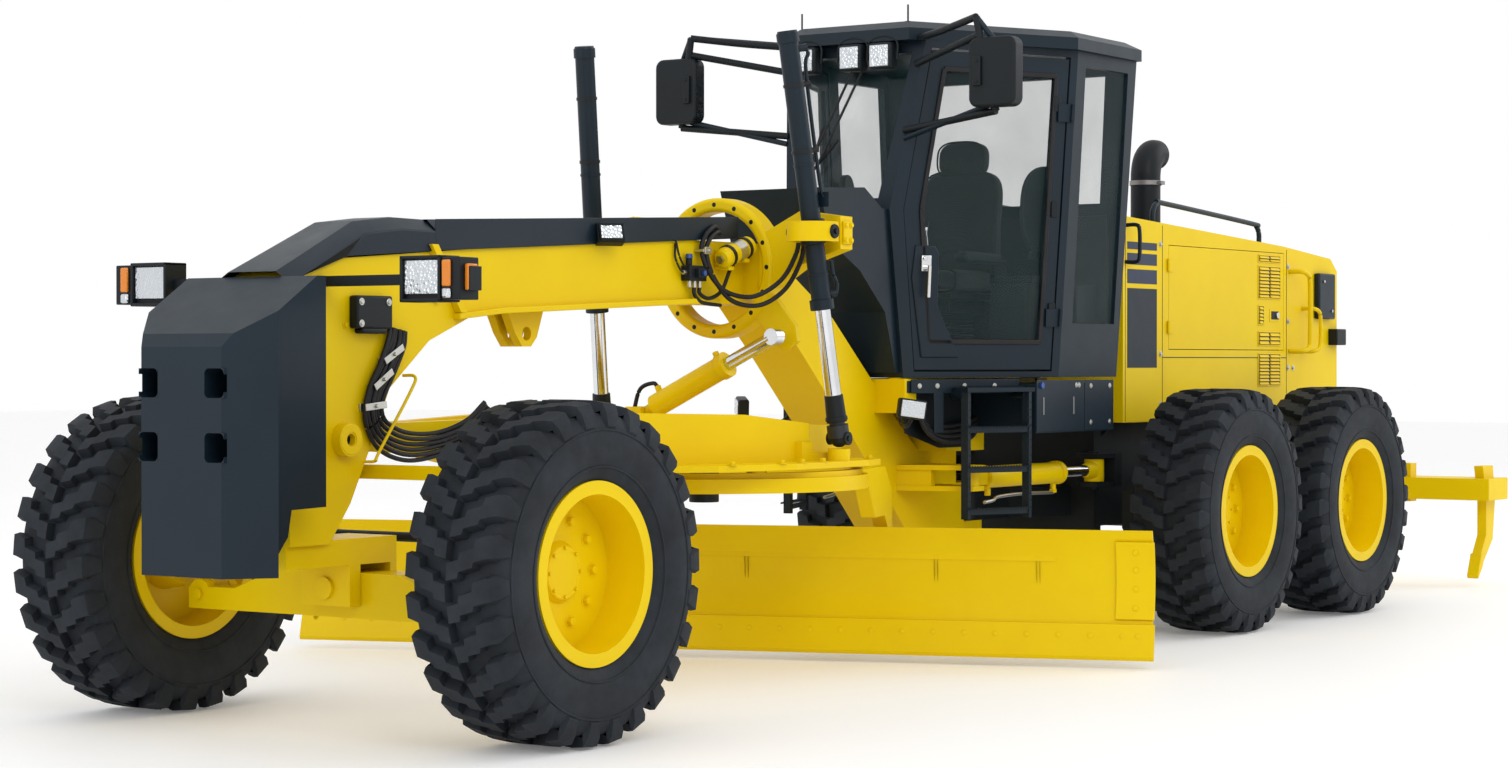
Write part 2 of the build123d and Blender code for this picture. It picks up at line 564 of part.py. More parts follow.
# ---- rear frame ----
rear_half = 400
case_inner = 620              # tandem cases, from the centre line
case_outer = 790
tandem_shaft = 100
ripper_pivot = (-8640, 620)
ripper_head = (-8560, 0, 1080)
ripper_foot = (-9665, 0, 850)
with BuildPart() as rear_frame:
    for side in (1, -1):
        plate(side_plane(side * rear_half + (30 if side > 0 else 60)),
              [(-5480, 560), (-5480, 1000), (-5700, 1120),
              (-8350, 1120), (-8500, 1000), (-8500, 880), (-7400, 760), (-7300, 560)], 90)
    block((-5560, -5480), (-rear_half - 30, rear_half + 30), (500, 1120))
    block((-8500, -8440), (-rear_half - 30, rear_half + 30), (880, 1120))
    block((tandem_x - 160, tandem_x + 160), (-rear_half - 20, rear_half + 20), (540, 800))
    # articulation hinge tongues between the front frame's forks
    for z in (hinge_forks[0] + 50 + running, hinge_forks[1] - 90 - running):
        plate(level_plane(z), [(-5500, -300), (-5500, 300), (-5100, 120), (pivot_x, 100), (pivot_x, -100),
              (-5100, -120)], 90)
        bar((pivot_x, 0, z), (pivot_x, 0, z + 90), 100)
    bar((pivot_x, 0, 520), (pivot_x, 0, 860), hinge_pin)
    # articulation cylinders' rear brackets
    for side in (1, -1):
        for z in (articulation_z - 90, articulation_z + 65):
            plate(level_plane(z), [(-5500, side * 360), (-5500, side * 560), (-5400, side * 550),
                  (-5330, side * 530), (-5330, side * 430), (-5400, side * 360)], 25)
        for z in (articulation_z - 102, articulation_z + 90):
            bar((artic_rear[0], side * artic_rear[1], z), (artic_rear[0], side * artic_rear[1], z + 12), 30)
        block((-5560, -5480), sorted((side * rear_half, side * 560)),
              (articulation_z - 90, articulation_z + 90))
    # tandem axle housing
    drum((tandem_x, 0, spindle_z), (0, 1, 0), 150, 2 * (case_inner - running))
    drum((tandem_x, 0, spindle_z), (0, 1, 0), tandem_shaft + running, 2 * case_inner, Mode.SUBTRACT)
    # ripper hitch: two pairs of plates low down, a clevis above
    for side in (1, -1):
        for y in (345 - running, 413 + running):
            plate(side_plane(side * y + 20), [(-8450, 500), (-8450, 1120), (-8590, 1120), (-8700, 700),
                  (-8700, 560), (-8640, 500)], 40)
        plate(side_plane(side * 64 + 14), [(-8440, 1000), (-8440, 1115), (-8560, 1130), (-8608, 1110),
              (-8608, 1050), (-8560, 1020)], 28)
    drum((ripper_pivot[0], 0, ripper_pivot[1]), (0, 1, 0), 25 + running, 1000, Mode.SUBTRACT)
    drum(ripper_head, (0, 1, 0), 26, 180)
keep(rear_frame, "rear_frame")

# ---- tandem cases with the wheel flanges ----
with BuildPart() as tandem_cases:
    for side in (1, -1):
        plate(side_plane(case_outer if side > 0 else -case_inner), [(tandem_x - 1050, 560),
              (tandem_x - 1050, 760), (tandem_x - 950, 840), (tandem_x + 950, 840), (tandem_x + 1050, 760),
              (tandem_x + 1050, 560), (tandem_x + 950, 470), (tandem_x - 950, 470)], case_outer - case_inner)
        for step in (1, -1):
            x = tandem_x + step * tandem_pitch / 2
            bar((x, side * (case_outer - 10), spindle_z), (x, side * (hub_inner - running), spindle_z), 95)
            bar((x, side * (case_outer - 10), spindle_z), (x, side * (hub_inner - 70), spindle_z), 160)
    drum((tandem_x, 0, spindle_z), (0, 1, 0), tandem_shaft, 2 * case_inner + 20)
keep(tandem_cases, "tandem_cases")

# ---- engine under the hood ----
with BuildPart() as engine_block:
    block((-7000, -5900), (-240, 240), (1121, 1500))
    block((-6900, -6000), (-180, 180), (1500, 1950))
    block((-8150, -8050), (-380, 380), (1120 + running, 1950))
    block((-8060, -6900), (-120, 120), (1121, 1260))
    drum((-7980, 0, 1560), (1, 0, 0), 300, 60)
    bar((-8060, 0, 1560), (-6950, 0, 1560), 60)
keep(engine_block, "engine_block")

# ---- hood: shell open below, side doors cut out ----
hood_half = 560
hood_front = -5570
hood_shell = 30
door_x = (-7656, -6120)       # side door opening
door_z = (1524, 2110)
with BuildPart() as hood:
    outline = [(hood_front, 1125), (hood_front, 2251), (-6119, 2225), (-7654, 2150), (-8350, 2095),
               (-8450, 2020),
               (-8450, 1300), (-8300, 1125)]
    inner = [(hood_front - hood_shell, 1100), (hood_front - hood_shell, 2220), (-6119, 2195), (-7654, 2120),
             (-8340, 2065), (-8415, 2005), (-8415, 1310), (-8290, 1100)]
    plate(side_plane(hood_half), outline, 2 * hood_half)
    plate(side_plane(hood_half - hood_shell), inner, 2 * (hood_half - hood_shell), Mode.SUBTRACT)
    block(door_x, (-hood_half - 5, hood_half + 5), door_z, Mode.SUBTRACT)
    block((-8470, -8400), (-400, 400), (1400, 1950), Mode.SUBTRACT)
    bar((-6939, 0, 2100), (-6939, 0, 2300), 70, Mode.SUBTRACT)
    for side in (1, -1):
        block((-8290, -5750), sorted((side * 385, side * (hood_half - hood_shell + 1))),
              (1120 + running, 1150))
keep(hood, "hood")

hood_gap = 4
hood_hinge = 14
for name, side in (("left", 1), ("right", -1)):
    with BuildPart() as hood_door:
        block((door_x[0] + hood_gap, door_x[1] - hood_gap), sorted((side * (hood_half - 24),
              side * hood_half)),
              (door_z[0] + hood_gap, door_z[1] - hood_gap))
        for z in (door_z[0] + 90, door_z[1] - 150):
            bar((door_x[1] + hood_hinge, side * (hood_half + 8 + running), z),
                (door_x[1] + hood_hinge, side * (hood_half + 8 + running), z + 70), 8)
            block((door_x[1] - 60, door_x[1] + hood_hinge),
                  sorted((side * (hood_half + running), side * (hood_half + 6))), (z, z + 70))
            block((door_x[1] - 60, door_x[1] - 10), sorted((side * (hood_half - 2),
                  side * (hood_half + 1))), (z, z + 70))
    keep(hood_door, f"hood_door_{name}")

with BuildPart() as exhaust_stack:
    bar((-6939, 0, 1950 + running), (-6939, 0, 2780), 62)
    with BuildSketch(level_plane(2780)) as pipe:
        with Locations((-6939, 0)):
            Circle(62)
    revolve(pipe.sketch, axis=Axis((-7100, 0, 2780), (0, 1, 0)), revolution_arc=-70)
    bar((-6939, 0, 1980), (-6939, 0, 2790), 54, Mode.SUBTRACT)
keep(exhaust_stack, "exhaust_stack")

# ---- ripper ----
with BuildPart() as ripper:
    block((-9900, -9560), (-1130, 1130), (560, 700))
    for side in (1, -1):
        plate(side_plane(side * 379 + 14), [(-8640, 570), (-8600, 620), (-8640, 670),
              (-9560, 700), (-9700, 700), (-9700, 560), (-9560, 560)], 28)
        bar((ripper_pivot[0], side * 300, ripper_pivot[1]), (ripper_pivot[0], side * 470, ripper_pivot[1]),
            25)
    for y in (-1030, 0, 1030):
        plate(side_plane(y + 30), [(-9640, 780), (-9820, 780), (-9860, 560), (-9820, 300), (-9560, 75),
              (-9540, 62), (-9600, 200), (-9700, 330), (-9700, 560)], 60)
    for y in (-515, 515):
        block((-9720, -9620), (y - 60, y + 60), (540, 790))
        block((-9700, -9640), (y - 35, y + 35), (530, 800), Mode.SUBTRACT)
    for y in (-90, 60):
        plate(side_plane(y + 30), [(-9590, 700), (-9590, 860), (-9680, 900), (-9740, 860), (-9740, 700)], 30)
    # pin heads; the rod's eye moves freely between the plates
    for side in (1, -1):
        bar((ripper_foot[0], side * 90, ripper_foot[2]), (ripper_foot[0], side * 102, ripper_foot[2]), 30)
keep(ripper, "ripper")

ripper_reach = (Vector(*ripper_foot) - Vector(*ripper_head)).length
ripper_along = (Vector(*ripper_foot) - Vector(*ripper_head)).normalized()


def on_ripper(distance):
    return tuple(Vector(*ripper_head) + ripper_along * distance)


with BuildPart() as ripper_tube:
    bar(on_ripper(64), on_ripper(640), 62)
    bar(on_ripper(600), on_ripper(640), 70)
    bar(on_ripper(0), on_ripper(70), 40)
    drum(ripper_head, (0, 1, 0), 46, 100)
    drum(ripper_head, (0, 1, 0), 26 + running, 120, Mode.SUBTRACT)
    bar(on_ripper(100), on_ripper(680), 34 + running, Mode.SUBTRACT)
keep(ripper_tube, "ripper_tube")

with BuildPart() as ripper_rod:
    bar(on_ripper(400), on_ripper(ripper_reach - 20), 34)
    drum(ripper_foot, (0, 1, 0), 46, 110)
keep(ripper_rod, "ripper_rod")

# ---- cab ----
#             height  x of the front, middle and rear corners   half width at each
cab_levels = [
    (cab_floor, (-3693, -4603, -5240), (314, 691, 691)),
    (2210, (-3576, -4620, -5262), (306, 738, 740)),
    (3050, (-3744, -4640, -5290), (414, 785, 785)),
]
door_lean = degrees(atan2(72.9, 3050 - cab_floor))
door_turn = radians(22.5)


def cab_outline(level):
    z, xs, ys = level
    return [(x, y) for x, y in zip(xs, ys)] + [(x, -y) for x, y in zip(reversed(xs), reversed(ys))]


def cab_hull(inset, mode):
    """The cab's leaning walls, inset from their outside."""
    profiles = []
    for level in cab_levels:
        with BuildSketch(level_plane(level[0])) as profile:
            with BuildLine():
                Polyline(*cab_outline(level), close=True)
            make_face()
            if inset:
                offset(amount=-inset, kind=Kind.INTERSECTION)
        profiles.append(profile.sketch)
    loft(profiles[0:2], ruled=True, mode=mode)
    loft(profiles[1:3], ruled=True, mode=mode)


def door_plane(side, out=0):
    """Plane of a cab door; its sketch is (back along the door, up), its normal points out."""
    lean = radians(door_lean)
    normal = Vector(sin(door_turn) * cos(lean), side * cos(door_turn) * cos(lean), -sin(lean))
    corner = Vector(cab_levels[0][1][0], side * cab_levels[0][2][0], cab_floor)
    along = Vector(-cos(door_turn), side * sin(door_turn), 0)
    return Plane(origin=corner + normal * out, x_dir=along, z_dir=normal)


def door_shape(side, outline, out, thickness, mode=Mode.ADD):
    """Plate in the door's plane; the outline is (back, up) for either side."""
    flip = 1 if side < 0 else -1
    with BuildSketch(door_plane(side, out)) as profile:
        with BuildLine():
            Polyline(*[(back, up * -flip) for back, up in outline], close=True)
        make_face()
    extrude(profile.sketch, amount=thickness, mode=mode)


hinge_foot = 965              # door hinge, behind the door's front corner at the floor
hinge_slope = 0.0418
hinge_lift = 0.9               # hinge leaves and barrels off the post
hinge_out = 12 + hinge_lift


def door_point(side, up):
    """Point on the door's hinge line."""
    plane = door_plane(side, hinge_out)
    return tuple(plane.origin + plane.x_dir * (hinge_foot + hinge_slope * up) + plane.y_dir * (up * side))


door_outline = [(70, 40), (-20, 835), (130, 1630), (1000, 1630), (966, 830), (932, 40)]
door_window = [(150, 180), (85, 840), (205, 1540), (915, 1540), (885, 830), (856, 180)]
door_hole = [(64, 30), (-26, 835), (124, 1640), (1008, 1640), (974, 830), (938, 30)]

roof_levels = [
    (3050, (-3667, -4560, -5300), (362, 827, 810)),
    (3110, (-3667, -4560, -5300), (362, 827, 810)),
    (3150, (-3740, -4600, -5240), (320, 760, 740)),
]

screen_lean = atan2(168, 840)
screen_plane = Plane(origin=(-3594, 0, 2210), x_dir=(0, 1, 0), z_dir=(cos(screen_lean), 0, sin(screen_lean)))
screen_outline = [(-233, 54), (233, 54), (342, 792), (-342, 792)]
rear_windows = [
    [(-600, 2300), (600, 2300), (620, 2980), (-620, 2980)],
    [(-600, 1500), (600, 1500), (600, 2200), (-600, 2200)],
]
side_window = [(-4722, 1655), (-4730, 2980), (-5200, 2980), (-5182, 1655)]

with BuildPart() as cab_frame:
    cab_hull(0, Mode.ADD)
    cab_hull(wall, Mode.SUBTRACT)
    plate(level_plane(cab_floor), [(-3720, 300), (-4603, 660), (-5210, 660), (-5210, -660), (-4603, -660),
          (-3720, -300)], 40)
    for low, high in zip(roof_levels[:-1], roof_levels[1:]):
        faces = []
        for level in (low, high):
            with BuildSketch(level_plane(level[0])) as profile:
                with BuildLine():
                    Polyline(*cab_outline(level), close=True)
                make_face()
            faces.append(profile.sketch)
        loft(faces, ruled=True)
    # windscreen, rear and side windows
    with BuildSketch(screen_plane) as profile:
        with BuildLine():
            Polyline(*screen_outline, close=True)
        make_face()
        offset(amount=running, kind=Kind.INTERSECTION)
    extrude(profile.sketch, amount=60, both=True, mode=Mode.SUBTRACT)
    for outline in rear_windows:
        plate(cross_plane(-5400), outline, 300, Mode.SUBTRACT)
    plate(side_plane(900), side_window, 1800, Mode.SUBTRACT)
    for side in (1, -1):
        door_shape(side, door_hole, -80, 160, Mode.SUBTRACT)
    # cowl in front of the windscreen
    plate(side_plane(290), [(-3700, 1400), (-3640, 2210), (-3534, 2210), (-3373, 2306), (-2972, 2287),
          (-3066, 2030), (-3330, 1900), (-3560, 1700), (-3660, 1400)], 580)
    # mirror arms and heads
    for side in (1, -1):
        tube_points = [(-3760, side * 400, 3070), (-3499, side * 844, 3113)]
        bar(tube_points[0], tube_points[1], 14)
        bar((-3499, side * 844, 3113), (-3539, side * 931, 2990), 14)
        bar((-3650, side * 350, 2560), (-3539, side * 931, 2700), 14)
        block((-3560, -3500), sorted((side * 820, side * 1050)), (2690, 3000))
keep(cab_frame, "cab_frame")

with BuildPart() as cab_glass:
    with BuildSketch(screen_plane) as profile:
        with BuildLine():
            Polyline(*screen_outline, close=True)
        make_face()
    extrude(profile.sketch, amount=-8)
    with BuildPart(mode=Mode.PRIVATE) as panes:
        cab_hull(12, Mode.ADD)
        cab_hull(20, Mode.SUBTRACT)
        with BuildPart(mode=Mode.PRIVATE) as openings:
            for outline in rear_windows:
                plate(cross_plane(-5400), outline, 300)
            plate(side_plane(900), side_window, 1800)
        add(openings.part, mode=Mode.INTERSECT)
    add(panes.part)
keep(cab_glass, "cab_glass")

for name, side in (("left", 1), ("right", -1)):
    with BuildPart() as cab_door:
        door_shape(side, door_outline, -36, 32)
        door_shape(side, door_window, -60, 90, Mode.SUBTRACT)
        for up in (260, 1310):
            back = hinge_foot + hinge_slope * up
            door_shape(side, [(back - 90, up), (back, up), (back, up + 90), (back - 90, up + 90)],
                       hinge_lift, 8)
            door_shape(side, [(back - 90, up), (back - 38, up), (back - 38, up + 90), (back - 90, up + 90)],
                       -6, 8)
            bar(door_point(side, up), door_point(side, up + 90), 12)
    keep(cab_door, f"cab_door_{name}")
    with BuildPart() as door_glass:
        door_shape(side, [(150.3, 180.3), (85.3, 840), (205.3, 1539.7), (914.7, 1539.7), (884.7, 830),
                   (855.7, 180.3)], -24, 8)
    keep(door_glass, f"door_glass_{name}")

with BuildPart() as operator_station:
    block((-4760, -4260), (-250, 250), (1780, 1900))
    block((-4860, -4740), (-240, 240), (1800, 2420))
    block((-4850, -4770), (-140, 140), (2420, 2600))
    block((-4640, -4420), (-120, 120), (cab_floor + 40, 1780))
    for side in (1, -1):
        block((-4700, -4300), sorted((side * 250, side * 320)), (1960, 2020))
        block((-4680, -4600), sorted((side * 250, side * 290)), (1800, 1960))
    plate(side_plane(60), [(-4040, cab_floor + 40), (-3900, cab_floor + 40), (-3960, 2040), (-4040, 2100),
          (-4080, 2060)], 120)
    with Locations(Location((-4085, 0, 2092), (0, -30, 0))):
        Torus(170, 14)
    bar((-4010, 0, 2000), (-4085, 0, 2092), 20)
    with Locations(Location((-4085, 0, 2092), (0, -30, 0))):
        Box(40, 340, 16)
keep(operator_station, "operator_station")

# ---- steps, skirts and boxes beside the cab ----
with BuildPart() as cab_steps:
    for side in (1, -1):
        plate(level_plane(1093), [(-5240, side * 330), (-5240, side * 630), (-5190, side * 700),
              (-4348, side * 700), (-4348, side * 330)], 252)
        plate(level_plane(1300), [(-3700, side * 330), (-3988, side * 448), (-4348, side * 590),
              (-4348, side * 330)], 60)
        out = Vector(sin(door_turn), side * cos(door_turn), 0)
        for x, y in ((-3932, 534), (-4296, 677)):
            block((x - 14, x + 14), sorted((side * (y - 20), side * (y + 20))), (668, 1305))
            bar((x, side * y, 1290), (x - out.X * 110, side * y - out.Y * 110, 1290), 24)
        for z in (690, 900, 1100):
            plate(level_plane(z), [(-3932, side * 514), (-4296, side * 657), (-4296, side * 697),
                  (-3932, side * 554)], 26)
keep(cab_steps, "cab_steps")

# ---- headlights on their bar ----
with BuildPart() as lights:
    for side in (1, -1):
        block((320, 366), sorted((side * (frame_half + running), side * 640)), (1745, 1785))
        block((300, 390), sorted((side * 620, side * 816)), (1690, 1840))
        block((325, 361), sorted((side * 810, side * 850)), (1750, 1780))
        block((310, 376), sorted((side * 835, side * 935)), (1720, 1810))
keep(lights, "lights")

for name in parts:
    print(name)
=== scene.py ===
import bmesh
import bpy
import math
from mathutils import Matrix, Vector


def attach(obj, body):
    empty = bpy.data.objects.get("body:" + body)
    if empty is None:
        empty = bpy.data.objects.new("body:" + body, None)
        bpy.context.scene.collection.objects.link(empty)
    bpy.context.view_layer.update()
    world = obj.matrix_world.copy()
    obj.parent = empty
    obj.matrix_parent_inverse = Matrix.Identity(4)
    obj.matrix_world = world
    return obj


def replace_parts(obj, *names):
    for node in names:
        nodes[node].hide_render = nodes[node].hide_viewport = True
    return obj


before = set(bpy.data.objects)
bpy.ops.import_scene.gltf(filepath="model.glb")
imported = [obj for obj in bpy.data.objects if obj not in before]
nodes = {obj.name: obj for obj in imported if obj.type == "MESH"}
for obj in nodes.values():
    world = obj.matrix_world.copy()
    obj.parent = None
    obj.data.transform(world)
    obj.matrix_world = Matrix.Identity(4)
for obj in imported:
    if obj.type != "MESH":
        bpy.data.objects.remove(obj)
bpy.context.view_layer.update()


# ---- materials ----
def newMaterial(name, colour, rough=0.5, metal=0.0, coat=0.0):
    mat = bpy.data.materials.new(name)
    mat.use_nodes = True
    tree = mat.node_tree
    shader = tree.nodes["Principled BSDF"]
    shader.inputs["Base Color"].default_value = (*colour, 1)
    shader.inputs["Roughness"].default_value = rough
    shader.inputs["Metallic"].default_value = metal
    shader.inputs["Coat Weight"].default_value = coat
    shader.inputs["Coat Roughness"].default_value = 0.12
    coords = tree.nodes.new("ShaderNodeTexCoord")
    return mat, tree, shader, coords.outputs["Object"]


def noiseField(tree, coords, scale, detail=4.0, rough=0.6):
    node = tree.nodes.new("ShaderNodeTexNoise")
    node.inputs["Scale"].default_value = scale
    node.inputs["Detail"].default_value = detail
    node.inputs["Roughness"].default_value = rough
    tree.links.new(coords, node.inputs["Vector"])
    return node.outputs["Fac"]


def ramp(tree, value, low, high, start, end):
    node = tree.nodes.new("ShaderNodeValToRGB")
    for element, place, colour in zip(node.color_ramp.elements, (low, high), (start, end)):
        element.position = place
        element.color = (*colour, 1)
    tree.links.new(value, node.inputs["Fac"])
    return node.outputs["Color"]


def spread(tree, value, low, high):
    node = tree.nodes.new("ShaderNodeMapRange")
    node.inputs["To Min"].default_value = low
    node.inputs["To Max"].default_value = high
    tree.links.new(value, node.inputs["Value"])
    return node.outputs["Result"]


def mixColours(tree, amount, first, second):
    # first is a colour, second a colour output
    node = tree.nodes.new("ShaderNodeMix")
    node.data_type = "RGBA"
    node.inputs[6].default_value = (*first, 1)
    tree.links.new(amount, node.inputs[0])
    tree.links.new(second, node.inputs[7])
    return node.outputs[2]


def addBump(tree, shader, value, strength, distance):
    node = tree.nodes.new("ShaderNodeBump")
    node.inputs["Strength"].default_value = strength
    node.inputs["Distance"].default_value = distance
    tree.links.new(value, node.inputs["Height"])
    tree.links.new(node.outputs["Normal"], shader.inputs["Normal"])


def paint(name, colour, shade, rough=0.35, coat=0.4, edge=0.35, shine=0.4):
    # enamel that drifts slowly between two colours, with painted shade that darkens it in hollows; edge sets how dark
    # that painted shade gets
    mat, tree, shader, coords = newMaterial(name, colour, rough, 0.0, coat)
    shader.inputs["Specular IOR Level"].default_value = shine
    tint = ramp(tree, noiseField(tree, coords, 1.7, 3), 0.3, 0.75, shade, colour)
    # painted shade in hollows, found by ambient occlusion and mixed into the base colour
    paintedShade = tree.nodes.new("ShaderNodeAmbientOcclusion")
    paintedShade.inputs["Distance"].default_value = 0.12
    paintedShade.samples = 4
    tree.links.new(tint, paintedShade.inputs["Color"])
    mixed = mixColours(tree, spread(tree, paintedShade.outputs["AO"], 1 - edge, 1.0), [c * 0.55 for c in shade], tint)
    tree.links.new(mixed, shader.inputs["Base Color"])
    gloss = spread(tree, noiseField(tree, coords, 9, 5), rough - 0.06, rough + 0.1)
    tree.links.new(gloss, shader.inputs["Roughness"])
    addBump(tree, shader, noiseField(tree, coords, 420, 2), 0.06, 0.001)
    return mat


def rubber(name, colour, rough=0.75):
    mat, tree, shader, coords = newMaterial(name, colour, rough)
    shader.inputs["Specular IOR Level"].default_value = 0.28
    dust = ramp(tree, noiseField(tree, coords, 6, 5), 0.35, 0.8, [c * 0.7 for c in colour], [c * 1.5 for c in colour])
    tree.links.new(dust, shader.inputs["Base Color"])
    gloss = spread(tree, noiseField(tree, coords, 22, 4), rough - 0.12, rough + 0.12)
    tree.links.new(gloss, shader.inputs["Roughness"])
    addBump(tree, shader, noiseField(tree, coords, 260, 3), 0.18, 0.002)
    return mat


def bareMetal(name, colour, rough, grain=60):
    mat, tree, shader, coords = newMaterial(name, colour, rough, 1.0)
    gloss = spread(tree, noiseField(tree, coords, grain, 4), rough - 0.05, rough + 0.12)
    tree.links.new(gloss, shader.inputs["Roughness"])
    tint = ramp(tree, noiseField(tree, coords, 3, 3), 0.3, 0.8, [c * 0.8 for c in colour], colour)
    tree.links.new(tint, shader.inputs["Base Color"])
    return mat


def glass(name, colour, amount):
    # amount is how opaque the glass is
    mat, tree, shader, coords = newMaterial(name, colour, 0.03)
    shader.inputs["Alpha"].default_value = amount
    tree.links.new(spread(tree, noiseField(tree, coords, 2.5, 2), amount - 0.05, amount + 0.08), shader.inputs["Alpha"])
    shader.inputs["Specular IOR Level"].default_value = 0.7
    return mat


yellow = paint("yellow_enamel", (0.89, 0.64, 0.0), (0.84, 0.58, 0.0), 0.40, 0.04, 0.35, 0.14)
charcoal = paint("charcoal_enamel", (0.008, 0.019, 0.030), (0.006, 0.014, 0.023), 0.42, 0.05, 0.35, 0.22)
navy = paint("navy_enamel", (0.006, 0.018, 0.06), (0.005, 0.015, 0.05), 0.4, 0.1, 0.35, 0.3)
blackPart = paint("black_castings", (0.009, 0.013, 0.017), (0.006, 0.009, 0.011), 0.5, 0.04, 0.35, 0.22)
grey = paint("grey_enamel", (0.20, 0.21, 0.22), (0.16, 0.17, 0.18), 0.5, 0.1)
tyreRubber = rubber("tyre_rubber", (0.016, 0.020, 0.026))
hoseRubber = rubber("hose_rubber", (0.012, 0.012, 0.014), 0.5)
chromeColour = (0.82, 0.83, 0.85)
chrome = bareMetal("chromed_rod", chromeColour, 0.12)
steel = bareMetal("worn_steel", (0.33, 0.32, 0.31), 0.45)
zinc = bareMetal("zinc_plating", (0.62, 0.62, 0.58), 0.32)
windowGlass = glass("tinted_glass", (0.02, 0.055, 0.058), 0.13)
amberGlass = glass("amber_lens", (0.85, 0.25, 0.01), 0.85)
redGlass = glass("red_lens", (0.55, 0.01, 0.01), 0.85)
lensGlass, lensTree, lensShader, lensCoords = newMaterial("lamp_lens", (0.60, 0.63, 0.66), 0.2, 0.8)
facets = lensTree.nodes.new("ShaderNodeTexVoronoi")
facets.inputs["Scale"].default_value = 80
lensTree.links.new(lensCoords, facets.inputs["Vector"])
addBump(lensTree, lensShader, facets.outputs["Distance"], 0.5, 0.004)

# finishes of the CAD nodes by the start of their names, yellow for the rest
finishes = {
    "counterweight": charcoal, "cab_": charcoal, "lift_tube": charcoal,
    "cab_glass": windowGlass, "door_glass": windowGlass,
    "lights": blackPart, "operator_station": blackPart, "rear_frame": blackPart, "engine_block": blackPart,
    "exhaust_stack": blackPart, "tandem_cases": blackPart, "tie_rod": blackPart,
    "shift_rod": chrome, "ripper_rod": chrome, "lift_rod": chrome, "artic_rod": chrome,
    "tyre_": tyreRubber,
}
for name, node in nodes.items():
    starts = [start for start in finishes if name.startswith(start)]
    node.data.materials.clear()
    node.data.materials.append(finishes[max(starts, key=len)] if starts else yellow)
print("materials done")


# ---- floor, light and camera ----
def newObject(name, mesh):
    obj = bpy.data.objects.new(name, mesh)
    bpy.context.scene.collection.objects.link(obj)
    return obj


def seenRays(tree):
    # 1 on the rays that show the backdrop: straight, mirrored or through glass
    rays = tree.nodes.new("ShaderNodeLightPath")
    value = rays.outputs["Is Camera Ray"]
    for kind in ("Is Glossy Ray", "Is Transmission Ray"):
        most = tree.nodes.new("ShaderNodeMath")
        most.operation = "MAXIMUM"
        tree.links.new(value, most.inputs[0])
        tree.links.new(rays.outputs[kind], most.inputs[1])
        value = most.outputs["Value"]
    return value


stage = {"half": 60, "floorGlow": 0.12, "skyLight": 0.82, "skySeen": 1.0}
floorMesh = bpy.data.meshes.new("floor")
half = stage["half"]
floorMesh.from_pydata([(-half, -half, 0), (half, -half, 0), (half, half, 0), (-half, half, 0)], [], [(0, 1, 2, 3)])
floor = newObject("floor", floorMesh)
floorMat, floorTree, floorShader, floorCoords = newMaterial("floor_white", (0.97, 0.97, 0.97), 0.6)
floorTint = ramp(floorTree, noiseField(floorTree, floorCoords, 0.4), 0.2, 0.8, (0.95, 0.95, 0.95), (0.98, 0.98, 0.98))
floorTree.links.new(floorTint, floorShader.inputs["Base Color"])
floorShader.inputs["Emission Color"].default_value = (1, 1, 1, 1)
floorGlow = spread(floorTree, seenRays(floorTree), 0.0, stage["floorGlow"])
floorTree.links.new(floorGlow, floorShader.inputs["Emission Strength"])
floorMesh.materials.append(floorMat)

world = bpy.data.worlds.new("studio")
bpy.context.scene.world = world
world.use_nodes = True
worldTree = world.node_tree
backdrop = worldTree.nodes["Background"]
backdrop.inputs["Color"].default_value = (1, 1, 1, 1)
sky = spread(worldTree, seenRays(worldTree), stage["skyLight"], stage["skySeen"])
worldTree.links.new(sky, backdrop.inputs["Strength"])

lamps = {  # place, power, size, target
    "key": ((9, 16, 13), 900, 9.0, (-3, 0, 1)),
    "fill": ((14, -3, 6), 350, 8.0, (-2, 0, 1)),
    "back": ((-16, 8, 9), 450, 9.0, (-5, 0, 1)),
}
for name, (place, power, size, target) in lamps.items():
    data = bpy.data.lights.new(name, "AREA")
    data.energy = power
    data.size = size
    lamp = newObject(name, data)
    lamp.location = place
    lamp.rotation_mode = "QUATERNION"
    lamp.rotation_quaternion = (Vector(target) - Vector(place)).to_track_quat("-Z", "Y")

view = {"place": (8.80765, 8.00882, 1.45114), "turn": 34.5075, "pitch": 0.4146, "lens": 70.5}
cameraData = bpy.data.cameras.new("camera")
camera = newObject("camera", cameraData)
bpy.context.scene.camera = camera
cameraData.lens = view["lens"]
cameraData.sensor_width = 36
camera.location = view["place"]
turn, pitch = math.radians(view["turn"]), math.radians(view["pitch"])
look = Vector((-math.cos(turn) * math.cos(pitch), -math.sin(turn) * math.cos(pitch), -math.sin(pitch)))
camera.rotation_mode = "QUATERNION"
camera.rotation_quaternion = look.to_track_quat("-Z", "Y")
bpy.context.scene.view_settings.view_transform = "Standard"
print("stage done")

# ---- shapes that the pieces are made of ----
hands = {"left": 1, "right": -1}
eastward, upward, outward = (1, 0, 0), (0, 0, 1), (0, 1, 0)


def frameTo(start, end):
    # axes whose Z runs from start to end
    along = (end - start).normalized()
    up = Vector(upward) if abs(along.z) < 0.9 else Vector(eastward)
    first = along.cross(up).normalized()
    return Matrix((first.cross(along), first, along)).transposed().to_4x4()


def box(bm, low, high, turn=Matrix()):
    low, high = Vector(low), Vector(high)
    shape = Matrix.Translation((low + high) / 2) @ Matrix.Diagonal((*(high - low), 1))
    bmesh.ops.create_cube(bm, size=1.0, matrix=turn @ shape)


def rod(bm, start, end, radius, count=24, endRadius=None):
    start, end = Vector(start), Vector(end)
    middle = Matrix.Translation((start + end) / 2) @ frameTo(start, end)
    bmesh.ops.create_cone(bm, cap_ends=True, segments=count, radius1=radius, radius2=endRadius or radius,
                          depth=(end - start).length, matrix=middle)


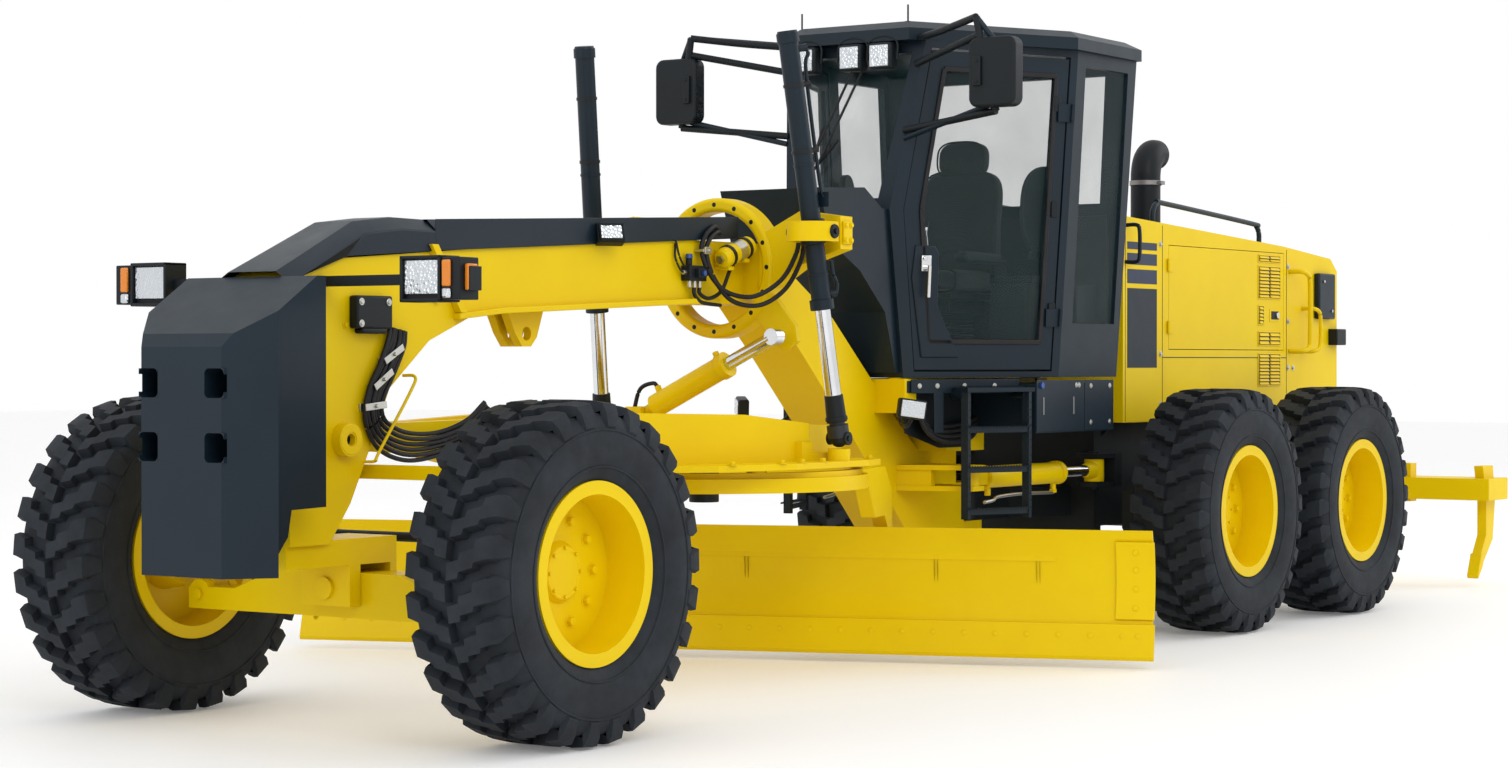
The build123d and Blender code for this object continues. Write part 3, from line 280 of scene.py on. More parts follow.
def prism(bm, outline, origin, across, up, out):
    # an outline in the plane of across and up, pushed along out
    origin, across, up = Vector(origin), Vector(across), Vector(up)
    face = bm.faces.new([bm.verts.new(origin + across * a + up * b) for a, b in outline])
    grown = bmesh.ops.extrude_face_region(bm, geom=[face])["geom"]
    bmesh.ops.translate(bm, verts=[part for part in grown if isinstance(part, bmesh.types.BMVert)], vec=out)


def plate(bm, outline, y, thickness):
    # an outline of x and z, pushed sideways
    prism(bm, outline, (0, y, 0), eastward, upward, (0, thickness, 0))


def ring(bm, centre, axis, profile, count=48, closed=True):
    # pairs of radius and height, spun round an axis
    centre, axis = Vector(centre), Vector(axis).normalized()
    first = frameTo(Vector(), axis).col[1].to_3d()
    verts = [bm.verts.new(centre + first * r + axis * s) for r, s in profile]
    edges = [bm.edges.new(ends) for ends in zip(verts, verts[1:] + verts[:closed])]
    bmesh.ops.spin(bm, geom=verts + edges, cent=centre, axis=axis, angle=2 * math.pi, steps=count, use_merge=True)
    bmesh.ops.remove_doubles(bm, verts=bm.verts, dist=1e-5)


def tube(bm, points, radius, count=10):
    # a round section pushed from point to point
    points = [Vector(p) for p in points]
    frames = [Matrix.Translation(here) @ frameTo(before, after)
              for before, here, after in zip(points[:1] + points, points, points[1:] + points[-1:])]
    section = bmesh.ops.create_circle(bm, cap_ends=True, segments=count, radius=radius, matrix=frames[0])["verts"]
    face = section[0].link_faces[0]
    for before, after in zip(frames[:-1], frames[1:]):
        grown = bmesh.ops.extrude_face_region(bm, geom=[face, *face.edges])["geom"]
        face = next(part for part in grown if isinstance(part, bmesh.types.BMFace))
        bmesh.ops.transform(bm, verts=face.verts, matrix=after @ before.inverted())


def curvePoints(points, count=8):
    # a smooth line through the points
    points = [Vector(p) for p in points]
    padded = [points[0] * 2 - points[1]] + points + [points[-1] * 2 - points[-2]]
    run = []
    for k in range(len(points) - 1):
        a, b, c, d = padded[k:k + 4]
        for t in [i / count for i in range(count)]:
            run.append(0.5 * (b * 2 + (c - a) * t + (a * 2 - b * 5 + c * 4 - d) * t ** 2
                              + (b * 3 - a - c * 3 + d) * t ** 3))
    return run + [points[-1]]


def pipe(bm, points, radius, count=10):
    tube(bm, curvePoints(points), radius, count)


def skin(bm, rows, closed=False, caps=False):
    # faces between rows of as many points each
    rows = [[bm.verts.new(p) for p in row] for row in rows]
    for here, after in zip(rows[:-1], rows[1:]):
        for k in range(len(here) - (not closed)):
            m = (k + 1) % len(here)
            bm.faces.new((here[k], here[m], after[m], after[k]))
    if caps:
        bm.faces.new(rows[0])
        bm.faces.new(rows[-1])
    return rows


def around(count, radius, start=0.0):
    # points on a circle, as pairs
    turns = [2 * math.pi * (k + start) / count for k in range(count)]
    return [(radius * math.cos(a), radius * math.sin(a)) for a in turns]


def piece(name, material, body, parts, smooth=30, bevel=0.0, segments=2, side=1):
    # each part is a shape function and its values; side -1 mirrors the piece
    bm = bmesh.new()
    for shape, *values in parts:
        shape(bm, *values)
    if side < 0:
        bmesh.ops.scale(bm, vec=(1, -1, 1), verts=bm.verts)
    bmesh.ops.recalc_face_normals(bm, faces=bm.faces)
    mesh = bpy.data.meshes.new(name)
    bm.to_mesh(mesh)
    bm.free()
    mesh.materials.append(material)
    obj = newObject(name, mesh)
    if bevel:
        modifier = obj.modifiers.new("bevel", "BEVEL")
        modifier.width = bevel
        modifier.segments = segments
        modifier.limit_method = "ANGLE"
        modifier.angle_limit = math.radians(35)
    mesh.polygons.foreach_set("use_smooth", [True] * len(mesh.polygons))
    mesh.set_sharp_from_angle(angle=math.radians(smooth))
    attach(obj, body)
    return obj


def pair(name, material, body, parts, *finish):
    # the piece on the left and its mirror image on the right
    for hand, side in hands.items():
        piece(f"{name}_{hand}", material, body + hand if body.endswith("_") else body, parts, *finish, side=side)


def hoses(name, runs, radius, body, material=hoseRubber, make=piece):
    make(name, material, body, [(tube, curvePoints(run, 12), radius) for run in runs], 60)


def bolts(name, places, direction, radius, height, body, material=zinc, washer=0.0, make=piece):
    direction = Vector(direction).normalized()
    parts = []
    for place in map(Vector, places):
        if washer:
            parts.append((rod, place, place + direction * 0.003, washer, 20))
        parts.append((rod, place, place + direction * height, radius, 6))
    make(name, material, body, parts, 30, 0.0012, 1)


# ---- tyres with their tread, wheel nuts, hubs and valves ----
wheels = {  # place along the machine, side
    "front_left": (0.0, 1), "front_right": (0.0, -1),
    "mid_left": (-5.7325, 1), "mid_right": (-5.7325, -1),
    "rear_left": (-7.2575, 1), "rear_right": (-7.2575, -1),
}
wheel = {
    "halfTrack": 1.05,
    "height": 0.656,
    "profile": [(0.318, -0.172), (0.352, -0.176), (0.372, -0.196), (0.42, -0.212), (0.47, -0.2215), (0.52, -0.2205),
                (0.560, -0.214), (0.590, -0.204), (0.605, -0.188), (0.6115, -0.15), (0.6135, -0.08), (0.614, 0.0)],
    "lugs": 26,
    "lugDepth": 0.045,
    "shoulderDepth": 0.03,
    "treadRadius": 0.65,
    # across, radius, swing and width of a lug's sections
    "lug": [(0.003, 0.6558, 0.0, 0.072), (0.056, 0.6557, 0.012, 0.074), (0.060, 0.6557, 0.036, 0.078),
            (0.122, 0.6548, 0.054, 0.080), (0.127, 0.6547, 0.080, 0.096), (0.172, 0.651, 0.094, 0.098),
            (0.2, 0.645, 0.098, 0.096), (0.2165, 0.612, 0.100, 0.088), (0.2215, 0.560, 0.100, 0.066)],
    "sideRings": [(0.405, 0.2085), (0.545, 0.2175)],
    "nuts": 10, "nutCircle": 0.2,
    "hubBolts": 8, "hubCircle": 0.094,
    "hub": [(0.001, 0.0345), (0.078, 0.0345), (0.086, 0.034), (0.104, 0.030), (0.112, 0.0), (0.001, 0.0)],
}


def lugs(bm, centre, flank):
    # one lug skinned over its sections, then copied round the tyre
    rows = []
    for across, top, swing, width in wheel["lug"]:
        middle = 2 * math.pi * 0.25 * flank / wheel["lugs"] - swing / wheel["treadRadius"]
        foot, crest = 0.56 * width / wheel["treadRadius"], 0.44 * width / wheel["treadRadius"]
        low = top - (wheel["lugDepth"] if across < 0.19 else wheel["shoulderDepth"])
        inner = across - (0.0 if across < 0.205 else 0.02)
        rows.append([centre + Vector((r * math.sin(a), s * flank, r * math.cos(a))) for a, r, s in
                     ((middle - foot, low, inner), (middle - crest, top, across),
                      (middle + crest, top, across), (middle + foot, low, inner))])
    verts = [v for row in skin(bm, rows, caps=True) for v in row]
    geom = verts + list({e for v in verts for e in v.link_edges}) + list({f for v in verts for f in v.link_faces})
    copies = wheel["lugs"] - 1
    bmesh.ops.spin(bm, geom=geom, cent=centre, axis=outward, angle=2 * math.pi * copies / wheel["lugs"],
                   steps=copies, use_duplicate=True)


for name, (x, side) in wheels.items():
    body = f"wheel_{name}"
    centre = Vector((x, side * wheel["halfTrack"], wheel["height"]))
    out = (0, side, 0)
    half = wheel["profile"]
    parts = [(ring, centre, outward, half + [(r, -s) for r, s in reversed(half[:-1])], 96, False)]
    for flank in (1, -1):
        parts.append((lugs, centre, flank))
        parts += [(ring, centre + Vector((0, flank * s, 0)), outward,
                   [(r - 0.006, -0.003), (r - 0.003, 0.0035 * flank), (r + 0.003, 0.0035 * flank), (r + 0.006, -0.003)],
                   72) for r, s in wheel["sideRings"]]
    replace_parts(piece(f"tread_{name}", tyreRubber, body, parts, 38), f"tyre_{name}")
    nuts = [centre + Vector((b, side * 0.0045, a)) for a, b in around(wheel["nuts"], wheel["nutCircle"], 0.5)]
    bolts(f"wheel_nuts_{name}", nuts, out, 0.017, 0.022, body, yellow, 0.023)
    piece(f"hub_cap_{name}", yellow, body, [(ring, centre, out, wheel["hub"], 40)])
    hub = [centre + Vector((b, side * 0.035, a)) for a, b in around(wheel["hubBolts"], wheel["hubCircle"])]
    bolts(f"hub_bolts_{name}", hub, out, 0.007, 0.008, body, yellow)
    piece(f"valve_{name}", zinc, body,
          [(rod, centre + Vector((0.27, side * 0.02, 0)), centre + Vector((0.285, side * 0.08, 0)), 0.006, 10)], 40)
print("wheels done")

# ---- nose and gooseneck ----
nose = {
    "coverHalf": 0.165,
    "coverSide": [(-0.321, 1.905), (-0.321, 2.033), (-2.469, 2.129), (-2.469, 2.028)],
    "coverTop": [(-2.469, 2.129), (-0.321, 2.033)],
    "wedgeCrown": [(-0.321, 2.033), (-0.12, 2.035), (0.10, 2.01), (0.56, 1.80)],
    "wedgeFoot": [(-0.321, 1.903), (-0.05, 1.885), (0.2, 1.868), (0.56, 1.75)],
    "wedgeHalf": 0.169,
    "boss": (0.215, 1.151),
    "flange": [(-0.45, 1.628), (-0.729, 1.655), (-2.084, 1.717), (-2.3, 1.717), (-2.3, 1.742), (-2.084, 1.742),
               (-0.729, 1.68), (-0.45, 1.652)],
    "rib": [(-0.28, 1.93), (-0.46, 1.655), (-0.50, 1.655), (-0.32, 1.93)],
}
top = [[(x, y, z - drop) for y, drop in ((-0.169, 0.045), (-0.12, 0), (0.12, 0), (0.169, 0.045))]
       for x, z in nose["coverTop"]]
under = [[(x, y * 0.96, z - 0.006) for x, y, z in row] for row in top]
piece("gooseneck_cover", charcoal, "front", [(plate, nose["coverSide"], side * nose["coverHalf"], side * 0.004)
                                             for side in (1, -1)] + [(skin, top), (skin, under)], 30, 0.006)
edge = nose["wedgeHalf"]
crowns = [[(x, y * (1.0 if x < 0.2 else 1.25), z - drop) for x, z in nose["wedgeCrown"]]
          for y, drop in ((-edge, 0.05), (-0.10, 0.0), (0.10, 0.0), (edge, 0.05))]


def wedge(bm):
    rows = skin(bm, crowns)
    for row, y in ((rows[0], -edge), (rows[-1], edge)):
        feet = [bm.verts.new((x, y, z)) for x, z in nose["wedgeFoot"]]
        for k in range(len(feet) - 1):
            bm.faces.new((row[k], row[k + 1], feet[k + 1], feet[k]))


piece("nose_cover", charcoal, "front", [(wedge,)], 30, 0.005)
x, z = nose["boss"]
bossProfile = [(0.03, 0.0), (0.03, 0.048), (0.058, 0.048), (0.064, 0.042), (0.066, 0.0)]
piece("nose_bosses", yellow, "front",
      [(ring, (x, side * 0.152, z), (0, side, 0), bossProfile, 40) for side in (1, -1)], 40)
# the dark plugs in the bosses' bores are painted shade of the holes
piece("boss_bores", blackPart, "front",
      [(rod, (x, side * 0.15, z), (x, side * 0.17, z), 0.0305) for side in (1, -1)], 40)
piece("gooseneck_flange", yellow, "front", [(plate, nose["flange"], -0.19, 0.38)], 30, 0.003)
piece("gooseneck_ribs", yellow, "front", [(plate, nose["rib"], side * 0.152, side * 0.035) for side in (1, -1)],
      30, 0.002)
print("nose done")

# ---- headlights ----
headlight = {"x": 0.343, "y": 0.718, "z": 1.765, "width": 0.20, "height": 0.175, "depth": 0.10, "wall": 0.014}
x, y, z, wall = (headlight[key] for key in ("x", "y", "z", "wall"))
back, front = x - headlight["depth"] / 2, x + headlight["depth"] / 2
inner, outer = y - headlight["width"] / 2, y + headlight["width"] / 2
low, high = z - headlight["height"] / 2, z + headlight["height"] / 2
brow = front + 0.02
pair("headlight_case", blackPart, "front", [
    (box, (back, inner, low), (brow, inner + wall, high)), (box, (back, outer - wall, low), (brow, outer, high)),
    (box, (back, inner, high - wall), (brow, outer, high)), (box, (back, inner, low), (brow, outer, low + wall)),
    (box, (back, inner, low), (back + 0.01, outer, high)),
    (box, (back, outer, low + 0.008), (front + 0.012, outer + 0.09, high - 0.008))], 30, 0.012, 3)
pair("headlight_lens", lensGlass, "front",
     [(box, (front + 0.002, inner + 0.016, low + 0.03), (front + 0.008, outer - 0.016, high - 0.016))], 30, 0.004)
pair("headlight_reflector", zinc, "front",
     [(box, (back + 0.012, inner + 0.016, low + 0.016), (front - 0.02, outer - 0.016, high - 0.016))], 30, 0.02, 3)
pair("turn_lamp", amberGlass, "front", [
    (box, (front + 0.012, outer + 0.012, z - 0.03), (front + 0.026, outer + 0.052, high - 0.018)),
    (box, (x - 0.02, outer + 0.09, z - 0.045), (x + 0.035, outer + 0.112, z + 0.055))], 30, 0.006)
pair("side_lamp", lensGlass, "front",
     [(box, (front + 0.012, outer + 0.012, low + 0.014), (front + 0.026, outer + 0.052, z - 0.036))], 30, 0.008)
print("headlights done")

# ---- cab doors, drawn on the left door's plane ----
door = {
    "foot": (-3.693, 0.314, 1.376),
    "turn": math.radians(22.5),
    "lean": math.atan2(72.9, 1674.0),
    "lockPanel": [(0.105, 0.10), (0.035, 0.50), (0.055, 0.66), (0.175, 0.66), (0.20, 0.62), (0.20, 0.36), (0.34, 0.10)],
    "seal": [(0.15, 0.18), (0.085, 0.84), (0.205, 1.54), (0.915, 1.54), (0.885, 0.83), (0.856, 0.18)],
    "sealHalf": 0.012,
    "latch": [(0.085, 0.53), (0.085, 0.61), (0.145, 0.61), (0.145, 0.53)],
    "hingeHeights": (0.34, 0.86, 1.40),
}
doorOut = Vector((math.sin(door["turn"]) * math.cos(door["lean"]), math.cos(door["turn"]) * math.cos(door["lean"]),
                  -math.sin(door["lean"])))
doorBack = Vector((-math.cos(door["turn"]), math.sin(door["turn"]), 0))
doorRise = doorOut.cross(doorBack).normalized()
doorRise = doorRise if doorRise.z > 0 else -doorRise


def doorPoint(back, up, out=0.0):
    return Vector(door["foot"]) + doorBack * back + doorRise * up + doorOut * out


def doorSheet(bm, outline, out, thickness):
    prism(bm, outline, doorPoint(0, 0, out), doorBack, doorRise, doorOut * thickness)


sealBars = []
for start, end in zip(door["seal"], door["seal"][1:] + door["seal"][:1]):
    start, end = Vector(start), Vector(end)
    across = (end - start).orthogonal().normalized() * door["sealHalf"]
    sealBars.append((doorSheet, [start + across, end + across, end - across, start - across], -0.006, 0.010))
pair("door_seal", hoseRubber, "cab_door_", sealBars, 30, 0.003)
pair("door_lock_panel", charcoal, "cab_door_", [(doorSheet, door["lockPanel"], -0.03, 0.034)], 30, 0.006)
pair("door_handle", chrome, "cab_door_", [
    (rod, doorPoint(0.115, 0.40, 0.035), doorPoint(0.118, 0.56, 0.035), 0.011, 16),
    (rod, doorPoint(0.115, 0.55, 0.002), doorPoint(0.115, 0.55, 0.036), 0.013, 16),
    (doorSheet, door["latch"], 0.004, 0.012),
    (rod, doorPoint(0.10, 0.595, 0.01), doorPoint(0.10, 0.595, 0.028), 0.012, 16)], 40, 0.003)
pair("door_hinge_leaves", blackPart, "cab_door_",
     [(doorSheet, [(0.905, up - 0.04), (0.945, up - 0.04), (0.945, up + 0.04), (0.905, up + 0.04)], -0.004, 0.010)
      for up in door["hingeHeights"]], 30, 0.003)
print("doors done")

# ---- work lamps under the roof's front, mirrors and wipers ----
workLamp = {"ys": (-0.241, 0.033, 0.209), "x": -3.665, "z": 2.975}
x, z = workLamp["x"], workLamp["z"]
for i, y in enumerate(workLamp["ys"]):
    for part, material, half, back, front, finish in (
            ("case", blackPart, 0.068, -0.05, 0.035, (0.02, 3)), ("lens", lensGlass, 0.054, 0.030, 0.040, (0.012, 3)),
            ("reflector", zinc, 0.056, -0.03, 0.028, (0.01, 2))):
        piece(f"work_lamp_{part}_{i}", material, "front",
              [(box, (x + back, y - half, z - half), (x + front, y + half, z + half))], 30, *finish)
    hoses(f"work_lamp_bail_{i}", [[(x, y - 0.085, z - 0.02), (x - 0.005, y - 0.08, z + 0.07), (x - 0.005, y, z + 0.10),
                                  (x - 0.005, y + 0.08, z + 0.07), (x, y + 0.085, z - 0.02)]],
          0.006, "front", blackPart)

mirror = {
    "corner": (-3.499, 0.844, 3.113), "heel": (-3.539, 0.931, 2.66),
    "roots": [(-3.72, 0.40, 3.06), (-3.70, 0.385, 2.93), (-3.655, 0.345, 2.60)],
    "thickness": 0.018,
    "x": (-3.573, -3.485), "y": (0.807, 1.063), "z": (2.677, 3.013), "rounding": 0.045,
    "glass": [(0.84, 2.72), (0.84, 2.97), (1.03, 2.97), (1.03, 2.72)],
}
top, heel, roots, thick = (mirror[key] for key in ("corner", "heel", "roots", "thickness"))
pair("mirror_arms", blackPart, "front", [
    (pipe, [roots[0], (-3.62, 0.60, 3.08), top], thick), (tube, [top, (-3.515, 0.884, 2.9), heel], thick),
    (tube, [roots[1], (-3.515, 0.86, 3.03)], thick), (tube, [roots[2], heel], thick)], 60)
corner = mirror["rounding"]
(y0, y1), (z0, z1) = mirror["y"], mirror["z"]
outline = []
for quarter, (y, z) in enumerate(((y1 - corner, z1 - corner), (y0 + corner, z1 - corner),
                                  (y0 + corner, z0 + corner), (y1 - corner, z0 + corner))):
    for a in [0.5 * math.pi * (quarter + k / 6) for k in range(7)]:
        outline.append((y + corner * math.cos(a), z + corner * math.sin(a)))
back, front = mirror["x"]
pair("mirror_head", blackPart, "front", [(prism, outline, (back, 0, 0), outward, upward, (front - back, 0, 0))],
     40, 0.013, 4)
pair("mirror_clamp", blackPart, "front", [(box, (-3.484, 0.838, 2.78), (-3.470, 0.882, 2.92))]
     + [(rod, (-3.486, 0.86, z), (-3.466, 0.86, z), 0.010, 6) for z in (2.80, 2.90)], 30, 0.003)
pair("mirror_glass", chrome, "front", [(prism, mirror["glass"], (-3.5735, 0, 0), outward, upward, (-0.002, 0, 0))])
print("mirrors done")

screen = {"foot": (-3.576, 2.21), "lean": math.atan2(168, 840)}


def screenPoint(y, up, out):
    (x, z), lean = screen["foot"], screen["lean"]
    return Vector((x - up * math.sin(lean) + out * math.cos(lean), y, z + up * math.cos(lean) + out * math.sin(lean)))


wipers = []
for root, tip, heel, toe in (((0.06, 0.80), (-0.20, 0.18), (-0.205, 0.06), (-0.13, 0.42)),
                             ((0.12, 0.80), (-0.12, 0.25), (-0.235, 0.12), (-0.03, 0.36))):
    wipers += [(tube, [screenPoint(*root, 0.035), screenPoint(*tip, 0.03)], 0.007, 8),
               (tube, [screenPoint(*heel, 0.018), screenPoint(*toe, 0.018)], 0.008, 8)]
piece("windscreen_wipers", hoseRubber, "front", wipers, 60)

# ---- hood: stripes, panel seams, louvres, latch, rails and lamps, drawn on its left side ----
hood = {
    "half": 0.56,
    "stripes": [(2.072, 2.113), (1.988, 2.051), (1.885, 1.963)],
    "darkPanel": (1.423, 1.859),
    "stripeX": (-5.975, -5.62),
    "sheet": 0.0012,
    "seams": [(-6.046, -6.041, 1.13, 2.215), (-7.70, -7.695, 1.13, 2.13), (-7.695, -6.046, 1.478, 1.483),
              (-5.60, -5.596, 1.13, 2.235)],
    # low and high x, low and high z, slats
    "doorLouvres": [(-7.60, -7.30, 2.052, 2.086, 2), (-7.60, -7.30, 1.836, 2.02, 9), (-7.37, -7.30, 1.68, 1.785, 5),
                    (-7.60, -7.30, 1.558, 1.63, 3)],
    "hoodLouvres": [(-7.60, -7.30, 1.318, 1.50, 9)],
    "latch": (-7.60, -7.455, 1.695, 1.772),
    "bolts": [(-6.02, 2.11), (-6.02, 1.50), (-6.02, 1.22), (-7.72, 2.03), (-7.72, 1.42), (-7.79, 1.42), (-7.72, 1.70)],
    "rail": 0.655,
    "handrail": 0.50,
}
y = hood["half"]


def rectangle(x0, x1, z0, z1):
    return [(x0, z0), (x1, z0), (x1, z1), (x0, z1)]


def louvres(name, body, openings):
    backs, slats, rims = [], [], []
    for x0, x1, z0, z1, count in openings:
        # the black backs between the slats are painted shade of the space behind the openings
        backs.append((plate, rectangle(x0, x1, z0, z1), y + 0.0005, hood["sheet"]))
        pitch = (z1 - z0) / count
        columns = 2 if x1 - x0 > 0.2 else 1
        wide = (x1 - x0) / columns
        for left in [x0 + column * wide + 0.012 for column in range(columns)]:
            slats += [(prism, [(0, -pitch * 0.42), (0.010, -pitch * 0.36), (0.002, pitch * 0.34)],
                       (left, y + 0.0005, z0 + (k + 0.5) * pitch), outward, upward, (wide - 0.024, 0, 0))
                      for k in range(count)]
        rims += [(box, (a, y + 0.0005, c), (b, y + 0.0045, d)) for a, b, c, d in (
            (x0 - 0.008, x1 + 0.008, z1, z1 + 0.008), (x0 - 0.008, x1 + 0.008, z0 - 0.008, z0),
            (x0 - 0.008, x0, z0, z1), (x1, x1 + 0.008, z0, z1))]
    pair(name + "_louvre_backs", blackPart, body, backs)
    pair(name + "_louvres", yellow, body, slats)
    pair(name + "_louvre_rims", yellow, body, rims, 30, 0.0015, 1)


pair("hood_stripes", navy, "rear", [(plate, rectangle(*hood["stripeX"], *heights), y, hood["sheet"])
                                    for heights in hood["stripes"]])
pair("hood_dark_panel", charcoal, "rear", [(plate, rectangle(*hood["stripeX"], *hood["darkPanel"]), y, hood["sheet"])])
pair("hood_seams", blackPart, "rear", [(box, (a, y, c), (b, y + 0.001, d)) for a, b, c, d in hood["seams"]])
louvres("door", "hood_door_", hood["doorLouvres"])
louvres("hood", "rear", hood["hoodLouvres"])
x0, x1, z0, z1 = hood["latch"]
middle = (x0 + 0.05, (z0 + z1) / 2)
pair("hood_latch_plate", yellow, "hood_door_", [(box, (x0, y, z0), (x1, y + 0.003, z1))], 30, 0.002)
# the black patch in the middle of the latch plate is painted shade of its recess
pair("hood_latch_recess", blackPart, "hood_door_",
     [(box, (x0 + 0.02, y + 0.003, z0 + 0.014), (x1 - 0.02, y + 0.005, z1 - 0.014))], 30, 0.001)
pair("hood_latch", chrome, "hood_door_", [
    (rod, (middle[0], y + 0.005, middle[1]), (middle[0], y + 0.014, middle[1]), 0.017),
    (box, (x0 + 0.045, y + 0.012, z0 + 0.02), (x0 + 0.055, y + 0.018, z1 - 0.02))], 30, 0.001)
bolts("hood_bolts", [(x, y + 0.0005, z) for x, z in hood["bolts"]], outward, 0.011, 0.008, "rear", zinc, 0.017, pair)
# grab rails on the rear corner post, handrail on the top edge, grab handle at the front corner
out, rail = hood["rail"], hood["handrail"]
pair("hood_rails", yellow, "rear", [
    (pipe, [(-7.74, y, 2.00), (-7.75, out - 0.02, 2.00), (-7.80, out, 1.98), (-7.83, out, 1.93), (-7.83, out, 1.60),
            (-7.81, out, 1.54), (-7.76, out - 0.02, 1.52), (-7.74, y, 1.52)], 0.014, 12),
    (pipe, [(-7.93, y, 1.78), (-7.94, out - 0.03, 1.78), (-7.99, out - 0.01, 1.76), (-8.01, out - 0.01, 1.70),
            (-8.01, out - 0.01, 1.60), (-7.99, out - 0.01, 1.54), (-7.94, out - 0.03, 1.52), (-7.93, y, 1.52)],
     0.012, 12)], 60)
pair("hood_handrail", charcoal, "rear", [
    (pipe, [(-6.04, rail, 2.222), (-6.045, rail, 2.30), (-6.10, rail, 2.345), (-6.20, rail, 2.345),
            (-7.32, rail, 2.278),
            (-7.40, rail, 2.262), (-7.435, rail, 2.22), (-7.435, rail, 2.155)], 0.015, 12),
    (pipe, [(-5.60, y, 2.20), (-5.60, 0.625, 2.20), (-5.60, 0.645, 2.17), (-5.60, 0.645, 2.03), (-5.60, 0.625, 2.0),
            (-5.60, y, 2.0)], 0.011, 12)]
     + [(rod, (x, rail, z - 0.004), (x, rail, z + 0.01), 0.032, 20) for x, z in ((-6.04, 2.222), (-7.435, 2.157))], 60)
# rear corner box and tail lamp
pair("tail_box", charcoal, "rear", [(box, (-8.34, y, 1.72), (-8.10, 0.60, 2.0))], 30, 0.01)
bolts("tail_bolts", [(-8.16, 0.6005, 1.95), (-8.28, 0.6005, 1.77)], outward, 0.010, 0.008, "rear", make=pair)
pair("tail_lamp_case", blackPart, "rear", [(box, (-8.46, 0.45, 1.56), (-8.32, 0.62, 1.66)),
                                           (rod, (-8.36, 0.50, 1.60), (-8.36, 0.50, 1.52), 0.012, 12)], 30, 0.006)
for name, material, inner in (("tail_lens", redGlass, 0.46), ("tail_turn_lens", amberGlass, 0.54)):
    pair(name, material, "rear", [(box, (-8.466, inner, 1.57), (-8.459, inner + 0.07, 1.65))], 30, 0.002)

# dark top panel of the hood with its rounded edges, and the rear grille
hoodTop = {
    "line": [(-5.60, 2.2495), (-6.119, 2.225), (-7.654, 2.150), (-8.33, 2.0966)],
    "section": [(-0.40, 0.0), (-0.385, 0.010), (-0.36, 0.014), (0.36, 0.014), (0.385, 0.010), (0.40, 0.0)],
}
rows = [[(x, across, z + up) for across, up in hoodTop["section"]] for x, z in hoodTop["line"]]
piece("hood_top_panel", charcoal, "rear", [(skin, rows, True, True)], 35)
piece("rear_grille", blackPart, "rear", [(box, (-8.462, -0.46, z), (-8.450, 0.46, z + 0.016))
                                         for z in [1.27 + k * 0.048 for k in range(14)]]
      + [(box, (-8.464, post, 1.25), (-8.449, post + 0.012, 1.95)) for post in (-0.47, -0.005, 0.46)])
print("hood done")

# ---- accumulator, valve, hoses and work lamp on the gooseneck's left side ----
accumulator = {
    "front": (-2.265, 0.214, 1.925), "rear": (-2.500, 0.214, 1.998),
    "radius": 0.047,
    "clamps": [0.045, 0.178],
}
start, r = Vector(accumulator["front"]), accumulator["radius"]
way = (Vector(accumulator["rear"]) - start).normalized()


def sleeve(bm, low, high, radius, count=40, endRadius=None):
    rod(bm, start + way * low, start + way * high, radius, count, endRadius)


piece("accumulator_shell", yellow, "front", [(sleeve, 0.0, 0.014, 0.036, 40, r), (sleeve, 0.014, 0.225, r),
                                             (sleeve, 0.225, 0.240, r, 40, 0.032)], 35)
piece("accumulator_band", zinc, "front", [(sleeve, -0.016, 0.0, 0.020, 6), (sleeve, 0.238, 0.256, 0.016, 6),
                                          (sleeve, 0.105, 0.165, r + 0.0008)], 35)
piece("accumulator_clamps", hoseRubber, "front",
      [(sleeve, place, place + 0.018, r + 0.005) for place in accumulator["clamps"]], 35)
feet = []
for x, y, z in [start + way * (place + 0.009) for place in accumulator["clamps"]]:
    feet += [(box, (x - 0.022, 0.152, z - 0.066), (x + 0.022, 0.236, z - 0.046)),
             (box, (x - 0.018, 0.152, z - 0.048), (x + 0.018, 0.172, z + 0.03))]
piece("accumulator_feet", yellow, "front", feet, 30, 0.003)

piece("gooseneck_valve", blackPart, "front", [
    (box, (-2.165, 0.152, 1.822), (-2.035, 0.205, 1.892)), (box, (-2.135, 0.205, 1.835), (-2.075, 0.228, 1.878)),
    (rod, (-2.165, 0.18, 1.86), (-2.195, 0.18, 1.86), 0.016, 20),
    (rod, (-2.06, 0.18, 1.892), (-2.06, 0.18, 1.925), 0.015, 20)], 30, 0.004)
fittings = [(rod, (x, 0.18, 1.824), (x, 0.18, 1.792), 0.012, 6) for x in (-2.14, -2.10, -2.06)]
fittings.append((rod, (-2.035, 0.18, 1.86), (-2.012, 0.18, 1.86), 0.011, 6))
piece("valve_fittings", zinc, "front", fittings, 30, 0.001, 1)
bluePlastic = paint("blue_plastic", (0.01, 0.06, 0.30), (0.008, 0.05, 0.25), 0.4)
piece("valve_knobs", bluePlastic, "front", [(rod, (-2.06, 0.18, 1.925), (-2.06, 0.18, 1.945), 0.018, 20, 0.015),
                                            (rod, (-2.105, 0.228, 1.857), (-2.105, 0.240, 1.857), 0.012, 16)], 40)
hoses("gooseneck_hoses", [
    [(-2.32, 0.158, 2.065), (-2.26, 0.176, 2.075), (-2.18, 0.185, 2.03), (-2.15, 0.186, 1.96), (-2.17, 0.215, 1.86),
     (-2.24, 0.26, 1.775), (-2.36, 0.33, 1.755), (-2.45, 0.42, 1.83), (-2.47, 0.49, 1.95), (-2.45, 0.52, 2.03)],
    [(-2.34, 0.158, 2.045), (-2.28, 0.180, 2.05), (-2.20, 0.192, 2.01), (-2.175, 0.195, 1.95), (-2.19, 0.225, 1.84),
     (-2.27, 0.27, 1.735), (-2.38, 0.35, 1.715), (-2.47, 0.43, 1.79), (-2.495, 0.50, 1.92), (-2.47, 0.53, 2.01)],
], 0.011, "front")
